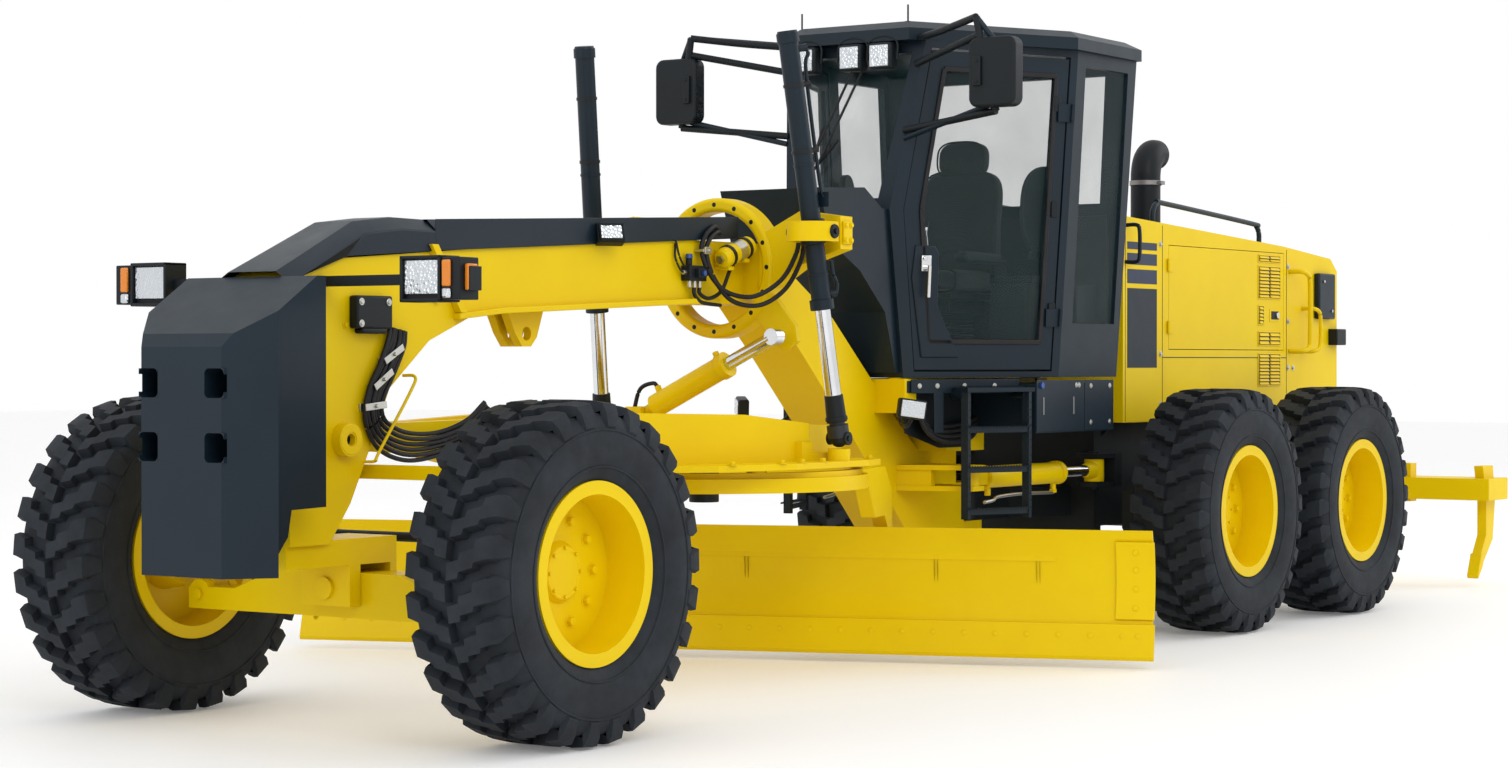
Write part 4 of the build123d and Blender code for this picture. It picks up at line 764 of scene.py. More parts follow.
hoses("valve_hoses", [
    [(-2.14, 0.18, 1.794), (-2.142, 0.182, 1.765), (-2.19, 0.20, 1.745), (-2.27, 0.212, 1.78), (-2.33, 0.214, 1.87),
     (-2.36, 0.214, 1.90)],
    [(-2.10, 0.18, 1.794), (-2.10, 0.182, 1.76), (-2.15, 0.19, 1.725), (-2.30, 0.185, 1.715)],
], 0.009, "front")
hoses("valve_cable", [
    [(-1.985, 0.156, 2.02), (-1.975, 0.172, 1.99), (-1.99, 0.178, 1.93), (-2.03, 0.18, 1.885), (-2.06, 0.18, 1.90)],
    [(-1.99, 0.156, 1.99), (-1.97, 0.168, 1.93), (-1.99, 0.176, 1.88), (-2.012, 0.18, 1.86)],
], 0.005, "front")
piece("hose_clamp", zinc, "front", [
    (box, (-2.205, 0.152, 1.955), (-2.135, 0.206, 1.968)), (box, (-2.195, 0.200, 1.945), (-2.145, 0.212, 1.978)),
    (rod, (-2.17, 0.21, 1.962), (-2.17, 0.222, 1.962), 0.008, 6)], 30, 0.002)


def placed(place, *turns):
    # a place and turns about axes, in degrees
    matrix = Matrix.Translation(place)
    for degrees, axis in turns:
        matrix = matrix @ Matrix.Rotation(math.radians(degrees), 4, axis)
    return matrix


# work lamp on the cover's side
lampTurn = placed((-1.435, 0.205, 2.01), (-35, "Z"), (20, "X"))
piece("side_lamp_case", blackPart, "front", [(box, low, high, lampTurn) for low, high in (
    ((-0.062, -0.03, -0.045), (0.062, 0.022, 0.045)), ((-0.058, 0.022, -0.041), (-0.048, 0.040, 0.041)),
    ((0.048, 0.022, -0.041), (0.058, 0.040, 0.041)), ((-0.058, 0.022, 0.031), (0.058, 0.040, 0.041)),
    ((-0.058, 0.022, -0.041), (0.058, 0.040, -0.031)))], 30, 0.006)
piece("side_lamp_lens", lensGlass, "front", [(box, (-0.048, 0.026, -0.031), (0.048, 0.030, 0.031), lampTurn)],
      30, 0.001, 1)
piece("side_lamp_reflector", zinc, "front", [(box, (-0.047, 0.0225, -0.030), (0.047, 0.0245, 0.030), lampTurn)])
piece("side_lamp_bracket", blackPart, "front", [
    (box, (-1.46, 0.152, 2.04), (-1.40, 0.196, 2.052)),
    (rod, (-1.435, 0.185, 2.05), (-1.435, 0.2, 2.015), 0.008, 12)], 30, 0.002)

# bolted valve cover and the hose bundle on the nose
pair("nose_box", blackPart, "front", [(box, (-0.03, 0.152, 1.585), (0.18, 0.198, 1.715)),
                                      (box, (0.0, 0.152, 1.565), (0.15, 0.198, 1.588))], 30, 0.01, 3)
bolts("nose_box_bolts", [(0.155, 0.198, 1.69), (-0.005, 0.198, 1.69), (0.155, 0.198, 1.605)], outward, 0.010, 0.008,
      "front", zinc, 0.015, pair)
bundle = {
    "count": 6,
    "line": [(-0.085, 1.585), (-0.075, 1.53), (-0.02, 1.43), (0.045, 1.33), (0.06, 1.24), (0.0, 1.16), (-0.14, 1.115),
             (-0.32, 1.125), (-0.47, 1.18), (-0.56, 1.26)],
    "spread": [0.020, 0.021, 0.019, 0.018, 0.019, 0.022, 0.022, 0.018, 0.016, 0.016],
    "clear": [0, 0, 0, 0, 0, 0, 0.004, 0.018, 0.05, 0.078],
    "clamps": [((-0.05, 1.485), 62), ((0.012, 1.385), 58), ((0.058, 1.28), 85)],
}
line = [Vector((x, 0, z)) for x, z in bundle["line"]]
runs = []
for k in range(bundle["count"]):
    shift = k - (bundle["count"] - 1) / 2
    run = []
    for i, (place, gap) in enumerate(zip(line, bundle["spread"])):
        ahead = (line[min(i + 1, len(line) - 1)] - line[max(i - 1, 0)]).normalized()
        y = 0.173 + 0.004 * math.sin(k * 2.1 + i * 0.9) + bundle["clear"][i]
        run.append(place + Vector((ahead.z * shift * gap, y, -ahead.x * shift * gap)))
    runs.append(run)
hoses("nose_hoses", runs, 0.0095, "front")
clamps = []
for (x, z), angle in bundle["clamps"]:
    turn = placed((x, 0, z), (90 - angle, "Y"))
    clamps += [(box, (-0.066, 0.152, -0.016), (0.066, 0.162, 0.016), turn),
               (box, (-0.062, 0.184, -0.014), (0.062, 0.189, 0.014), turn),
               (rod, turn @ Vector((0, 0.189, 0)), turn @ Vector((0, 0.199, 0)), 0.009, 6)]
piece("nose_hose_clamps", zinc, "front", clamps, 30, 0.002)
piece("hose_guards", yellow, "front", [
    (pipe, [(-0.14, side * 0.152, 1.40), (-0.145, side * 0.21, 1.395), (-0.12, side * 0.212, 1.34),
            (0.07, side * 0.212, 1.10), (0.085, side * 0.205, 1.065), (0.085, side * 0.152, 1.06)], 0.0065)
    for side in (1, -1)], 60)
piece("frame_bolts", yellow, "front", [
    (rod, (x, side * a, z), (x, side * b, z), radius, count)
    for x, z in ((0.20, 1.60), (-0.34, 1.70), (0.46, 1.70), (0.46, 1.30), (0.46, 0.95)) for side in (1, -1)
    for a, b, radius, count in ((0.152, 0.155, 0.017, 20), (0.155, 0.163, 0.011, 6))], 30, 0.001, 1)
print("gooseneck done")

# ---- lift cylinders: barrels, pipes, ports, sleeves and ball caps ----
lift = {
    "centre": (-2.400, 0.627, 2.045),
    "foot": (-2.542, 0.678, 1.105),
    "tube": 0.0455, "bore": 0.0372,
    "top": 0.900, "bottom": -0.352,
    "collar": 0.0615,
    "bands": [(0.86, 0.904, 0.0515), (0.30, 0.31, 0.049), (-0.20, -0.19, 0.049), (-0.356, -0.31, 0.055)],
    "clips": (0.66, 0.36), "clip": 0.0495,
    "ball": 0.0415,
    "paintedEye": 0.085,
}
tubeRadius, bore, top, bottom = (lift[key] for key in ("tube", "bore", "top", "bottom"))
seat = tubeRadius - 0.001


def platedRod(name, foot):
    # the rod is plated, and its eye near the foot is painted
    mat = bareMetal(name, chromeColour, 0.12)
    tree = mat.node_tree
    shader = tree.nodes["Principled BSDF"]
    fromEye = tree.nodes.new("ShaderNodeVectorMath")
    fromEye.operation = "DISTANCE"
    fromEye.inputs[1].default_value = foot
    tree.links.new(tree.nodes["Texture Coordinate"].outputs["Object"], fromEye.inputs[0])
    onRod = tree.nodes.new("ShaderNodeMapRange")
    onRod.inputs["From Min"].default_value = lift["paintedEye"]
    onRod.inputs["From Max"].default_value = lift["paintedEye"] + 0.002
    tree.links.new(fromEye.outputs["Value"], onRod.inputs["Value"])
    amount = onRod.outputs["Result"]
    plating = shader.inputs["Base Color"].links[0].from_socket
    tree.links.new(mixColours(tree, amount, (0.009, 0.013, 0.017), plating), shader.inputs["Base Color"])
    tree.links.new(amount, shader.inputs["Metallic"])
    tree.links.new(spread(tree, amount, 0.5, 0.14), shader.inputs["Roughness"])
    return mat


for hand, side in hands.items():
    tubeBody, rodBody = f"lift_tube_{hand}", f"lift_rod_{hand}"
    flip = Vector((1, side, 1))
    centre, foot = Vector(lift["centre"]) * flip, Vector(lift["foot"]) * flip
    axis = (centre - foot).normalized()
    reach = (centre - foot).length
    out = Vector((-0.75, side * 0.66, 0))
    out = (out - axis * out.dot(axis)).normalized()
    across = axis.cross(out)

    def liftPoint(distance, outside=0.0, off=0.0):
        return centre + axis * distance + out * outside + across * off

    block = Vector((0.02, 0.02, 0.03))

    def beside(way, y):
        return centre + Vector((0, way * y, 0))

    barrel = piece(f"lift_barrel_{hand}", charcoal, tubeBody, [
        (ring, centre, axis, [(bore, bottom), (tubeRadius, bottom), (tubeRadius, top), (0.0, top), (0.0, top - 0.015),
                              (bore, top - 0.015)], 40),
        (ring, centre, axis, [(seat, -0.058), (lift["collar"], -0.052), (lift["collar"], 0.052), (seat, 0.058)], 40)]
        + [(rod, beside(way, 0.05), beside(way, 0.1165), 0.03) for way in (1, -1)], 35, 0.0015)
    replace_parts(barrel, tubeBody)
    piece(f"lift_tube_collars_{hand}", charcoal, tubeBody, [
        (ring, liftPoint(low), axis, [(seat, 0), (r, 0), (r, high - low), (seat, high - low)], 40)
        for low, high, r in lift["bands"]] + [
        (rod, liftPoint(0.899), liftPoint(0.915), 0.050, 40, 0.044),
        (rod, liftPoint(0.83, 0.040), liftPoint(0.83, 0.082), 0.017, 20),
        (rod, liftPoint(-0.29, 0.040), liftPoint(-0.29, 0.076), 0.016, 20),
        (box, liftPoint(0.14, 0.034) - block, liftPoint(0.14, 0.089) + block)],
        35, 0.002)
    hoses(f"lift_pipes_{hand}", [
        [liftPoint(0.83, 0.074), liftPoint(0.80, 0.084), liftPoint(0.74, 0.068, 0.01), liftPoint(0.45, 0.064, 0.012),
         liftPoint(0.20, 0.066, 0.01), liftPoint(0.15, 0.072)],
        [liftPoint(-0.29, 0.074), liftPoint(-0.25, 0.082), liftPoint(-0.20, 0.067, -0.012),
         liftPoint(-0.14, 0.066, -0.012)]], 0.009, tubeBody, charcoal)
    clips, clip = [], lift["clip"]
    for low in lift["clips"]:
        clips += [(ring, liftPoint(low), axis, [(seat, 0), (clip, 0), (clip, 0.014), (seat, 0.014)], 32),
                  (rod, liftPoint(low + 0.007, 0.046), liftPoint(low + 0.007, 0.076), 0.013, 12)]
    piece(f"lift_pipe_clips_{hand}", hoseRubber, tubeBody, clips, 40)
    piece(f"lift_rod_sleeve_{hand}", blackPart, rodBody, [
        (rod, liftPoint(-reach + 0.075), liftPoint(-reach + 0.20), 0.047, 32, 0.043),
        (ring, liftPoint(-reach + 0.088), axis, [(0.036, -0.006), (0.050, -0.006), (0.052, 0.0), (0.050, 0.012),
                                                 (0.036, 0.012)], 32)], 35)

    def ball(bm):
        bmesh.ops.create_uvsphere(bm, u_segments=32, v_segments=18, radius=lift["ball"],
                                  matrix=Matrix.Translation(foot))

    piece(f"lift_ball_{hand}", blackPart, rodBody, [(ball,)], 60)
    nodes[rodBody].data.materials[0] = platedRod(f"plated_rod_{hand}", foot)
    caps = []
    for inner, outer in ((-0.044, -0.052), (0.044, 0.054)):
        a, b, c = (foot + Vector((0, side * y, 0)) for y in (inner, outer, outer + 0.006))
        caps += [(rod, a, b, 0.031, 28), (rod, b, c, 0.014, 6)]
    piece(f"lift_ball_caps_{hand}", blackPart, rodBody, caps, 35)
    pins = []
    for way in (1, -1):
        pins += [(rod, beside(way, 0.116), beside(way, 0.126), 0.034, 28, 0.030),
                 (rod, beside(way, 0.126), beside(way, 0.136), 0.014, 6)]
    piece(f"yoke_pins_{hand}", blackPart, f"yoke_{hand}", pins, 35)
pair("trunnion_cap", yellow, "front", [(box, (-2.606, 0.70, 1.992), (-2.534, 0.712, 2.098))], 30, 0.004)
bolts("trunnion_bolts", [(x, 0.712, z) for x in (-2.592, -2.548) for z in (2.01, 2.08)], outward, 0.011, 0.009, "front",
      yellow, 0.016, pair)
print("lift cylinders done")

# ---- lifter ring: lock holes round its face ----
lockHoles = {"count": 16, "circle": 0.298, "height": 1.894, "faces": ((-2.511, 1), (-2.629, -1))}
# each hole is a dark disc on the ring's face: painted shade of its inside
piece("lifter_holes", blackPart, "front", [
    (rod, (x, b, lockHoles["height"] + a), (x + way * 0.0015, b, lockHoles["height"] + a), 0.011, 20)
    for a, b in around(lockHoles["count"], lockHoles["circle"]) for x, way in lockHoles["faces"]])

# ---- drawbar: flange nuts, hoses and circle drive ----
drawbar = {
    "nuts": [(-1.72, 0.655), (-2.02, 0.715), (-2.17, 0.722), (-2.34, 0.722), (-2.60, 0.50), (-2.83, 0.66),
             (-2.83, 0.35)],
    "drive": (-1.90, -0.42, 1.003),
    "gearbox": [(0.0, 0.0), (0.125, 0.0), (0.125, 0.022), (0.105, 0.03), (0.10, 0.16), (0.088, 0.175), (0.0, 0.175)],
}
bolts("drawbar_nuts", [(x, side * y, 1.0035) for side in (1, -1) for x, y in drawbar["nuts"]], upward, 0.015, 0.018,
      "drawbar", yellow, 0.024)
hoses("drawbar_hoses", [
    [(-2.36, 0.30 + 0.03 * k, 1.02), (-2.25, 0.28 + 0.03 * k, 1.045), (-2.05, 0.22 + 0.03 * k, 1.05),
     (-1.85, 0.24 + 0.025 * k, 1.06), (-1.55, 0.26 + 0.02 * k, 1.03), (-1.36, 0.225 + 0.015 * k, 1.022)]
    for k in range(3)], 0.011, "drawbar")
x, y, z = drawbar["drive"]
piece("circle_drive_gearbox", yellow, "drawbar", [(ring, (x, y, z), upward, drawbar["gearbox"], 40)], 35)
bolts("circle_drive_bolts", [(x + a, y + b, 1.025) for a, b in around(10, 0.114)], upward, 0.008, 0.01, "drawbar")
piece("circle_drive_motor", blackPart, "drawbar", [
    (rod, (x, y, 1.178), (x, y, 1.255), 0.05, 32), (rod, (x, y, 1.255), (x, y, 1.262), 0.042, 32),
    (box, (x + 0.03, y - 0.03, 1.195), (x + 0.085, y + 0.03, 1.24))], 35, 0.004)
# the circle's rotary fitting with its hoses
piece("swivel_joint", blackPart, "circle", [(rod, (-2.43, 0, 0.80), (-2.43, 0, 0.99), 0.07, 36),
                                            (box, (-2.52, -0.045, 0.84), (-2.34, 0.045, 0.90))], 35, 0.004)
hoses("swivel_hoses", [
    [(-2.34, 0.02 - 0.03 * k, 0.87), (-2.27, 0.02 - 0.04 * k, 0.862), (-2.12, 0.05 - 0.06 * k, 0.80),
     (-2.05, 0.03 - 0.08 * k, 0.86), (-2.0, 0.0 - 0.09 * k, 0.93)] for k in range(2)], 0.011, "circle")
print("drawbar done")

# ---- blade: end plates, bolt heads and ribs ----
blade = {
    "circle": -2.43,
    "turn": math.radians(19.5),
    "left": 2.003, "right": -2.317,
    "knee": (-0.722, 0.225), "belly": (-0.764, 0.410), "top": (-0.695, 0.655),  # the face's curve
    "edge": (-0.676, 0.06),
    "pitch": 0.1524,
    "endPlate": (0.232, 0.60, 12),
    "endBolts": (0.285, 0.375, 0.465, 0.55),
    "edgeBolts": 0.155,
    "ribs": (-1.45, -0.95, 0.0, 0.95, 1.45),
}
bladeForward = Vector((math.cos(blade["turn"]), math.sin(blade["turn"]), 0))
bladeAcross = Vector((-math.sin(blade["turn"]), math.cos(blade["turn"]), 0))


def bladePoint(forward, across, z):
    return Vector((blade["circle"], 0, z)) + bladeForward * forward + bladeAcross * across


def circleThrough(a, b, c):
    d = 2 * (a[0] * (b[1] - c[1]) + b[0] * (c[1] - a[1]) + c[0] * (a[1] - b[1]))
    sq = [p[0] ** 2 + p[1] ** 2 for p in (a, b, c)]
    x = (sq[0] * (b[1] - c[1]) + sq[1] * (c[1] - a[1]) + sq[2] * (a[1] - b[1])) / d
    z = (sq[0] * (c[0] - b[0]) + sq[1] * (a[0] - c[0]) + sq[2] * (b[0] - a[0])) / d
    return x, z, math.hypot(a[0] - x, a[1] - z)


faceX, faceZ, faceRadius = circleThrough(blade["knee"], blade["belly"], blade["top"])


def faceForward(z):
    return faceX - math.sqrt(faceRadius ** 2 - (z - faceZ) ** 2)


low, high, steps = blade["endPlate"]
ends = []
for inner, outer in ((blade["left"] - 0.178, blade["left"] + 0.008), (blade["right"] - 0.008, blade["right"] + 0.178)):
    rows = []
    for z in [low + (high - low) * k / steps for k in range(steps + 1)]:
        near, far = faceForward(z) + 0.0005, faceForward(z) + 0.0135
        rows.append([bladePoint(*corner, z) for corner in ((near, inner), (near, outer), (far, outer), (far, inner))])
    ends.append((skin, rows, True, True))
piece("blade_end_plates", yellow, "blade", ends, 30, 0.003)


def boltHead(bm, place, direction, radius, height):
    neck = place + direction * height * 0.6
    rod(bm, place, neck, radius, 20)
    rod(bm, neck, place + direction * height, radius, 20, radius * 0.82)


heads = []
for across in (blade["left"] - 0.083, blade["right"] + 0.083):
    for z in blade["endBolts"]:
        slope = (faceForward(z + 0.01) - faceForward(z - 0.01)) / 0.02
        normal = (bladeForward - Vector((0, 0, slope))).normalized()
        heads.append((boltHead, bladePoint(faceForward(z) + 0.013, across, z), normal, 0.014, 0.006))
(kneeX, kneeZ), (edgeX, edgeZ), level = blade["knee"], blade["edge"], blade["edgeBolts"]
edgeLean = (kneeX - edgeX) / (kneeZ - edgeZ)
normal = (bladeForward - Vector((0, 0, edgeLean))).normalized()
offsets = [blade["left"] - 0.066]
step = blade["left"] - 0.14
while step > blade["right"] + 0.05:
    offsets.append(step)
    step -= blade["pitch"]
for across in offsets + [blade["right"] + 0.066]:
    place = bladePoint(edgeX + (level - edgeZ) * edgeLean + 0.0203, across, level)
    heads.append((boltHead, place, normal, 0.0145, 0.005))
piece("blade_bolts", yellow, "blade", heads, 40)
ribOutline = [(faceForward(z) - 0.024, z) for z in (0.60, 0.45, 0.30)] + [(-0.762, 0.30), (-0.765, 0.56)]
piece("blade_ribs", yellow, "blade", [
    (prism, ribOutline, bladePoint(0, across - 0.008, 0), bladeForward, upward, bladeAcross * 0.016)
    for across in blade["ribs"]], 30, 0.002)
print("blade done")

# ---- articulation and side shift cylinders: ports, pipes and eyes ----
y, z = 0.480, 0.870
pair("artic_ports", yellow, "artic_tube_", [
    (rod, (-4.24, y, z - 0.055), (-4.24, y, z - 0.095), 0.016, 20),
    (rod, (-4.93, y, z - 0.05), (-4.93, y, z - 0.092), 0.015, 20),
    (box, (-4.945, y - 0.014, z - 0.105), (-4.915, y + 0.014, z - 0.085)),
    (rod, (-4.180, y, z), (-4.205, y, z), 0.062, 36), (rod, (-4.978, y, z), (-4.992, y, z), 0.054, 36)], 35, 0.002)
pair("artic_pipe", zinc, "artic_tube_", [
    (pipe, [(-4.93, y, z - 0.095), (-4.91, y, z - 0.103), (-4.60, y, z - 0.098), (-4.35, y, z - 0.105),
            (-4.28, y + 0.01, z - 0.12), (-4.20, y + 0.005, z - 0.128)], 0.009)], 60)
pair("artic_eye", yellow, "artic_rod_", [
    (ring, (-5.390, y, z), upward, [(0.052, -0.0605), (0.0535, -0.056), (0.0535, 0.056), (0.052, 0.0605)], 40),
    (rod, (-5.35, y, z), (-5.28, y, z), 0.050, 32, 0.036)], 35)
shiftBase = Vector((-2.425, -0.367, 1.203))
shiftAxis = (Vector((-2.425, 0.400, 1.570)) - shiftBase).normalized()
shiftUp = Vector(eastward).cross(shiftAxis)
shiftUp = shiftUp if shiftUp.z > 0 else -shiftUp


def shiftPoint(distance, up):
    return shiftBase + shiftAxis * distance + shiftUp * up


piece("shift_ports", yellow, "shift_tube",
      [(rod, shiftPoint(distance, 0.045), shiftPoint(distance, 0.08), 0.015, 20) for distance in (0.15, 0.52)], 35)
hoses("shift_hoses", [[shiftPoint(distance, up) for distance, up in ((0.15, 0.078), (0.13, 0.105), (0.05, 0.11),
                                                                     (-0.03, 0.03))]], 0.010, "shift_tube")
print("cylinders done")

# ---- skirts, sill, ladder and lamps under the cab ----
skirt = {
    "sheets": [(-4.86, -4.352), (-5.186, -4.868)],
    "inner": 0.6995, "outer": 0.704,
    "handles": [-4.42, -4.74],
    "bolts": [(-4.77, 1.335), (-4.80, 1.335), (-4.93, 1.33), (-5.14, 1.33), (-4.93, 1.14), (-5.14, 1.14)],
}
pair("side_panels", charcoal, "front", [(box, (a, skirt["inner"], 1.098), (b, skirt["outer"], 1.362))
                                        for a, b in skirt["sheets"]], 30, 0.003)
pair("side_panel_handles", grey, "front", [(box, (x - 0.006, 0.70, 1.185), (x + 0.006, 0.708, 1.275))
                                           for x in skirt["handles"]], 30, 0.002)
bolts("side_panel_bolts", [(x, skirt["outer"], z) for x, z in skirt["bolts"]], outward, 0.009, 0.007, "front", zinc,
      0.014, pair)
pair("side_panel_plug", bluePlastic, "front", [(rod, (-4.395, 0.704, 1.335), (-4.395, 0.716, 1.335), 0.016, 20)], 40)


def runOf(first, last):
    # start, length, direction and outward normal of a line on the left side
    first, last = Vector((*first, 0)), Vector((*last, 0))
    way = (last - first).normalized()
    return first, (last - first).length, way, Vector((way.y, -way.x, 0))


first, length, way, face = runOf((-3.72, 0.338), (-4.348, 0.598))
pair("door_sill", charcoal, "front", [
    (prism, [(a, low), (b, low), (b, high), (a, high)], first + face * 0.002, way, upward, face * 0.008)
    for a, b, low, high in ((0.0, length, 1.298, 1.368), (0.14, 0.20, 1.10, 1.30))], 30, 0.002)
bolts("door_sill_bolts", [first + way * d + face * 0.010 + Vector((0, 0, 1.335)) for d in (0.05, 0.16, 0.33, 0.52)],
      face, 0.009, 0.006, "front", zinc, 0.013, pair)
# toothed treads and sill plate, and the holes down the stringers
ladder = {
    "stringers": ((-3.932, 0.534), (-4.296, 0.677)),
    "treads": [(0.690, 0.02), (0.900, 0.02), (1.100, 0.02), (1.300, -0.05)],  # height and depth of each row of teeth
    "rows": (0.0, 0.018),
    "teeth": 22,
    "tooth": [(-0.006, 0), (0.006, 0), (0, 0.009)],
    "holes": 15, "lowest": 0.72, "pitch": 0.038, "apart": 0.009, "holeRadius": 0.0042,
}
first, length, way, face = runOf(*ladder["stringers"])
ends = (-0.02, length + 0.02)
teeth = [(prism, ladder["tooth"], first + way * (length * (k + 0.5) / ladder["teeth"]) + face * (row + depth - 0.004)
          + Vector((0, 0, z + 0.026)), way, upward, face * 0.008)
         for z, depth in ladder["treads"] for k in range(ladder["teeth"]) for row in ladder["rows"]]
teeth.append((prism, [(ends[0], 1.305), (ends[1], 1.305), (ends[1], 1.326), (ends[0], 1.326)], first - face * 0.09, way,
              upward, face * 0.13))
pair("ladder_teeth", charcoal, "front", teeth)
# the holes are dark discs on the stringers: painted shade of their insides
holes = []
for base in (first, first + way * length):
    for k in range(ladder["holes"]):
        for shift in (-ladder["apart"], ladder["apart"]):
            place = base + way * shift + face * 0.0215 + Vector((0, 0, ladder["lowest"] + k * ladder["pitch"]))
            holes.append((rod, place, place + face * 0.0006, ladder["holeRadius"], 10))
pair("ladder_holes", blackPart, "front", holes)
# lamp beside the front frame, and hoses under the cab floor
stepLamp = {"place": (-3.47, 0.50, 1.225), "lens": {"left": (0.0245, 0.030), "right": (-0.036, -0.0305)}}
for hand, side in hands.items():
    lampTurn = placed(Vector(stepLamp["place"]) * Vector((1, side, 1)), (-42 * side, "Z"), (-8 * side, "Y"))
    low, high = stepLamp["lens"][hand]
    piece(f"step_lamp_case_{hand}", blackPart, "front",
          [(box, (-0.07, -0.03, -0.048), (0.07, 0.024, 0.048), lampTurn)], 30, 0.010, 3)
    piece(f"step_lamp_lens_{hand}", lensGlass, "front",
          [(box, (-0.060, low, -0.040), (0.060, high, 0.040), lampTurn)], 30, 0.003)
hoses("step_lamp_arm", [[(-3.49, 0.49, 1.18), (-3.52, 0.44, 1.14), (-3.60, 0.36, 1.15), (-3.66, 0.31, 1.21)]], 0.010,
      "front", blackPart, pair)
hoses("floor_hoses", [[(-3.72, 0.347 + 0.012 * k, 1.26 - 0.02 * k), (-3.80, 0.355 + 0.012 * k, 1.18 - 0.025 * k),
                       (-3.95, 0.365 + 0.012 * k, 1.13 - 0.025 * k), (-4.20, 0.36 + 0.010 * k, 1.14 - 0.025 * k),
                       (-4.36, 0.35, 1.17 - 0.02 * k)] for k in range(4)], 0.013, "front", hoseRubber, pair)
print("steps done")

# ---- operator's seat, levers and wheel ----
cabPlastic = paint("cab_plastic", (0.016, 0.026, 0.028), (0.012, 0.020, 0.022), 0.6, 0.0, 0.3, 0.3)
fabric, fabricTree, fabricShader, fabricCoords = newMaterial("seat_fabric", (0.008, 0.012, 0.013), 0.9)
weave = fabricTree.nodes.new("ShaderNodeTexWave")
weave.inputs["Scale"].default_value = 160
weave.inputs["Distortion"].default_value = 1.5
fabricTree.links.new(fabricCoords, weave.inputs["Vector"])
addBump(fabricTree, fabricShader, weave.outputs["Fac"], 0.35, 0.002)
fabricTree.links.new(ramp(fabricTree, weave.outputs["Fac"], 0.2, 0.8, (0.006, 0.010, 0.011), (0.013, 0.019, 0.020)),
                     fabricShader.inputs["Base Color"])
fabricShader.inputs["Sheen Weight"].default_value = 0.12
cushions = {"cuts": 11, "crown": 0.012, "piping": 0.005, "pipingBack": 0.80, "pipingEdge": 0.985}


def cushion(name, centre, size, power, lean=0.0, waist=0.0):
    # a rounded block, fuller in the middle and narrower at the waist, with piping round its front
    tilt = placed(centre, (lean, "Y"))

    def pull(y, z):
        return 1 - waist * (1 - abs(z)) * abs(y) ** 2

    def pad(bm):
        bmesh.ops.create_cube(bm, size=2.0)
        bmesh.ops.subdivide_edges(bm, edges=bm.edges, cuts=cushions["cuts"], use_grid_fill=True)
        for v in bm.verts:
            q = v.co * (max(abs(c) for c in v.co) / sum(abs(c) ** power for c in v.co) ** (1 / power))
            crown = cushions["crown"] * math.cos(q.y * math.pi / 2) * math.cos(q.z * math.pi / 2)
            v.co = tilt @ Vector((q.x * size[0] + crown * (1 if q.x > 0 else -1), q.y * size[1] * pull(q.y, q.z),
                                  q.z * size[2]))

    piece(name, fabric, "front", [(pad,)], 80)
    loop, edge = [], cushions["pipingEdge"]
    turns = around(48, 1.0)
    for y, z in turns + turns[:1]:
        length = (abs(y) ** power + abs(z) ** power) ** (1 / power)
        y, z = y / length, z / length
        loop.append(tilt @ Vector((size[0] * cushions["pipingBack"], y * size[1] * edge * pull(y, z),
                                   z * size[2] * edge)))
    piece(name + "_piping", hoseRubber, "front", [(tube, loop, cushions["piping"], 8)], 60)


cushion("seat_back", (-4.790, 0, 2.17), (0.055, 0.245, 0.30), 4.5, -6, 0.08)
cushion("seat_headrest", (-4.822, 0, 2.53), (0.048, 0.145, 0.095), 3.2, -4)
cushion("seat_cushion", (-4.515, 0, 1.875), (0.255, 0.255, 0.062), 5.0)
pair("armrest", cabPlastic, "front", [
    (prism, [(-0.20, -0.028), (-0.17, 0.022), (0.17, 0.030), (0.205, 0.016), (0.205, -0.014), (0.17, -0.028)],
     (-4.50, 0.249, 1.995), eastward, upward, (0, 0.072, 0))], 30, 0.014, 3)
suspension = [(rod, (-4.812, y, 2.40), (-4.822, y, 2.47), 0.008, 12) for y in (-0.06, 0.06)]
suspension += [(box, low, high) for low, high in (
    ((-4.70, -0.20, 1.70), (-4.34, 0.20, 1.80)), ((-4.64, -0.12, 1.416), (-4.42, 0.12, 1.52)),
    ((-4.84, -0.215, 1.80), (-4.815, 0.215, 2.36)), ((-4.72, -0.235, 1.775), (-4.30, 0.235, 1.815)))]
suspension += [(box, (-4.66 + shift, -0.16, z), (-4.39 - shift, 0.16, z + 0.026))
               for shift, z in [(0.004 * (k % 2), 1.50 + 0.036 * k) for k in range(5)]]
suspension += [(box, (-4.80, y - 0.014, 1.86), (-4.66, y + 0.014, 1.99)) for y in (0.262, -0.262)]
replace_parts(piece("seat_suspension", blackPart, "front", suspension, 30, 0.006), "operator_station")
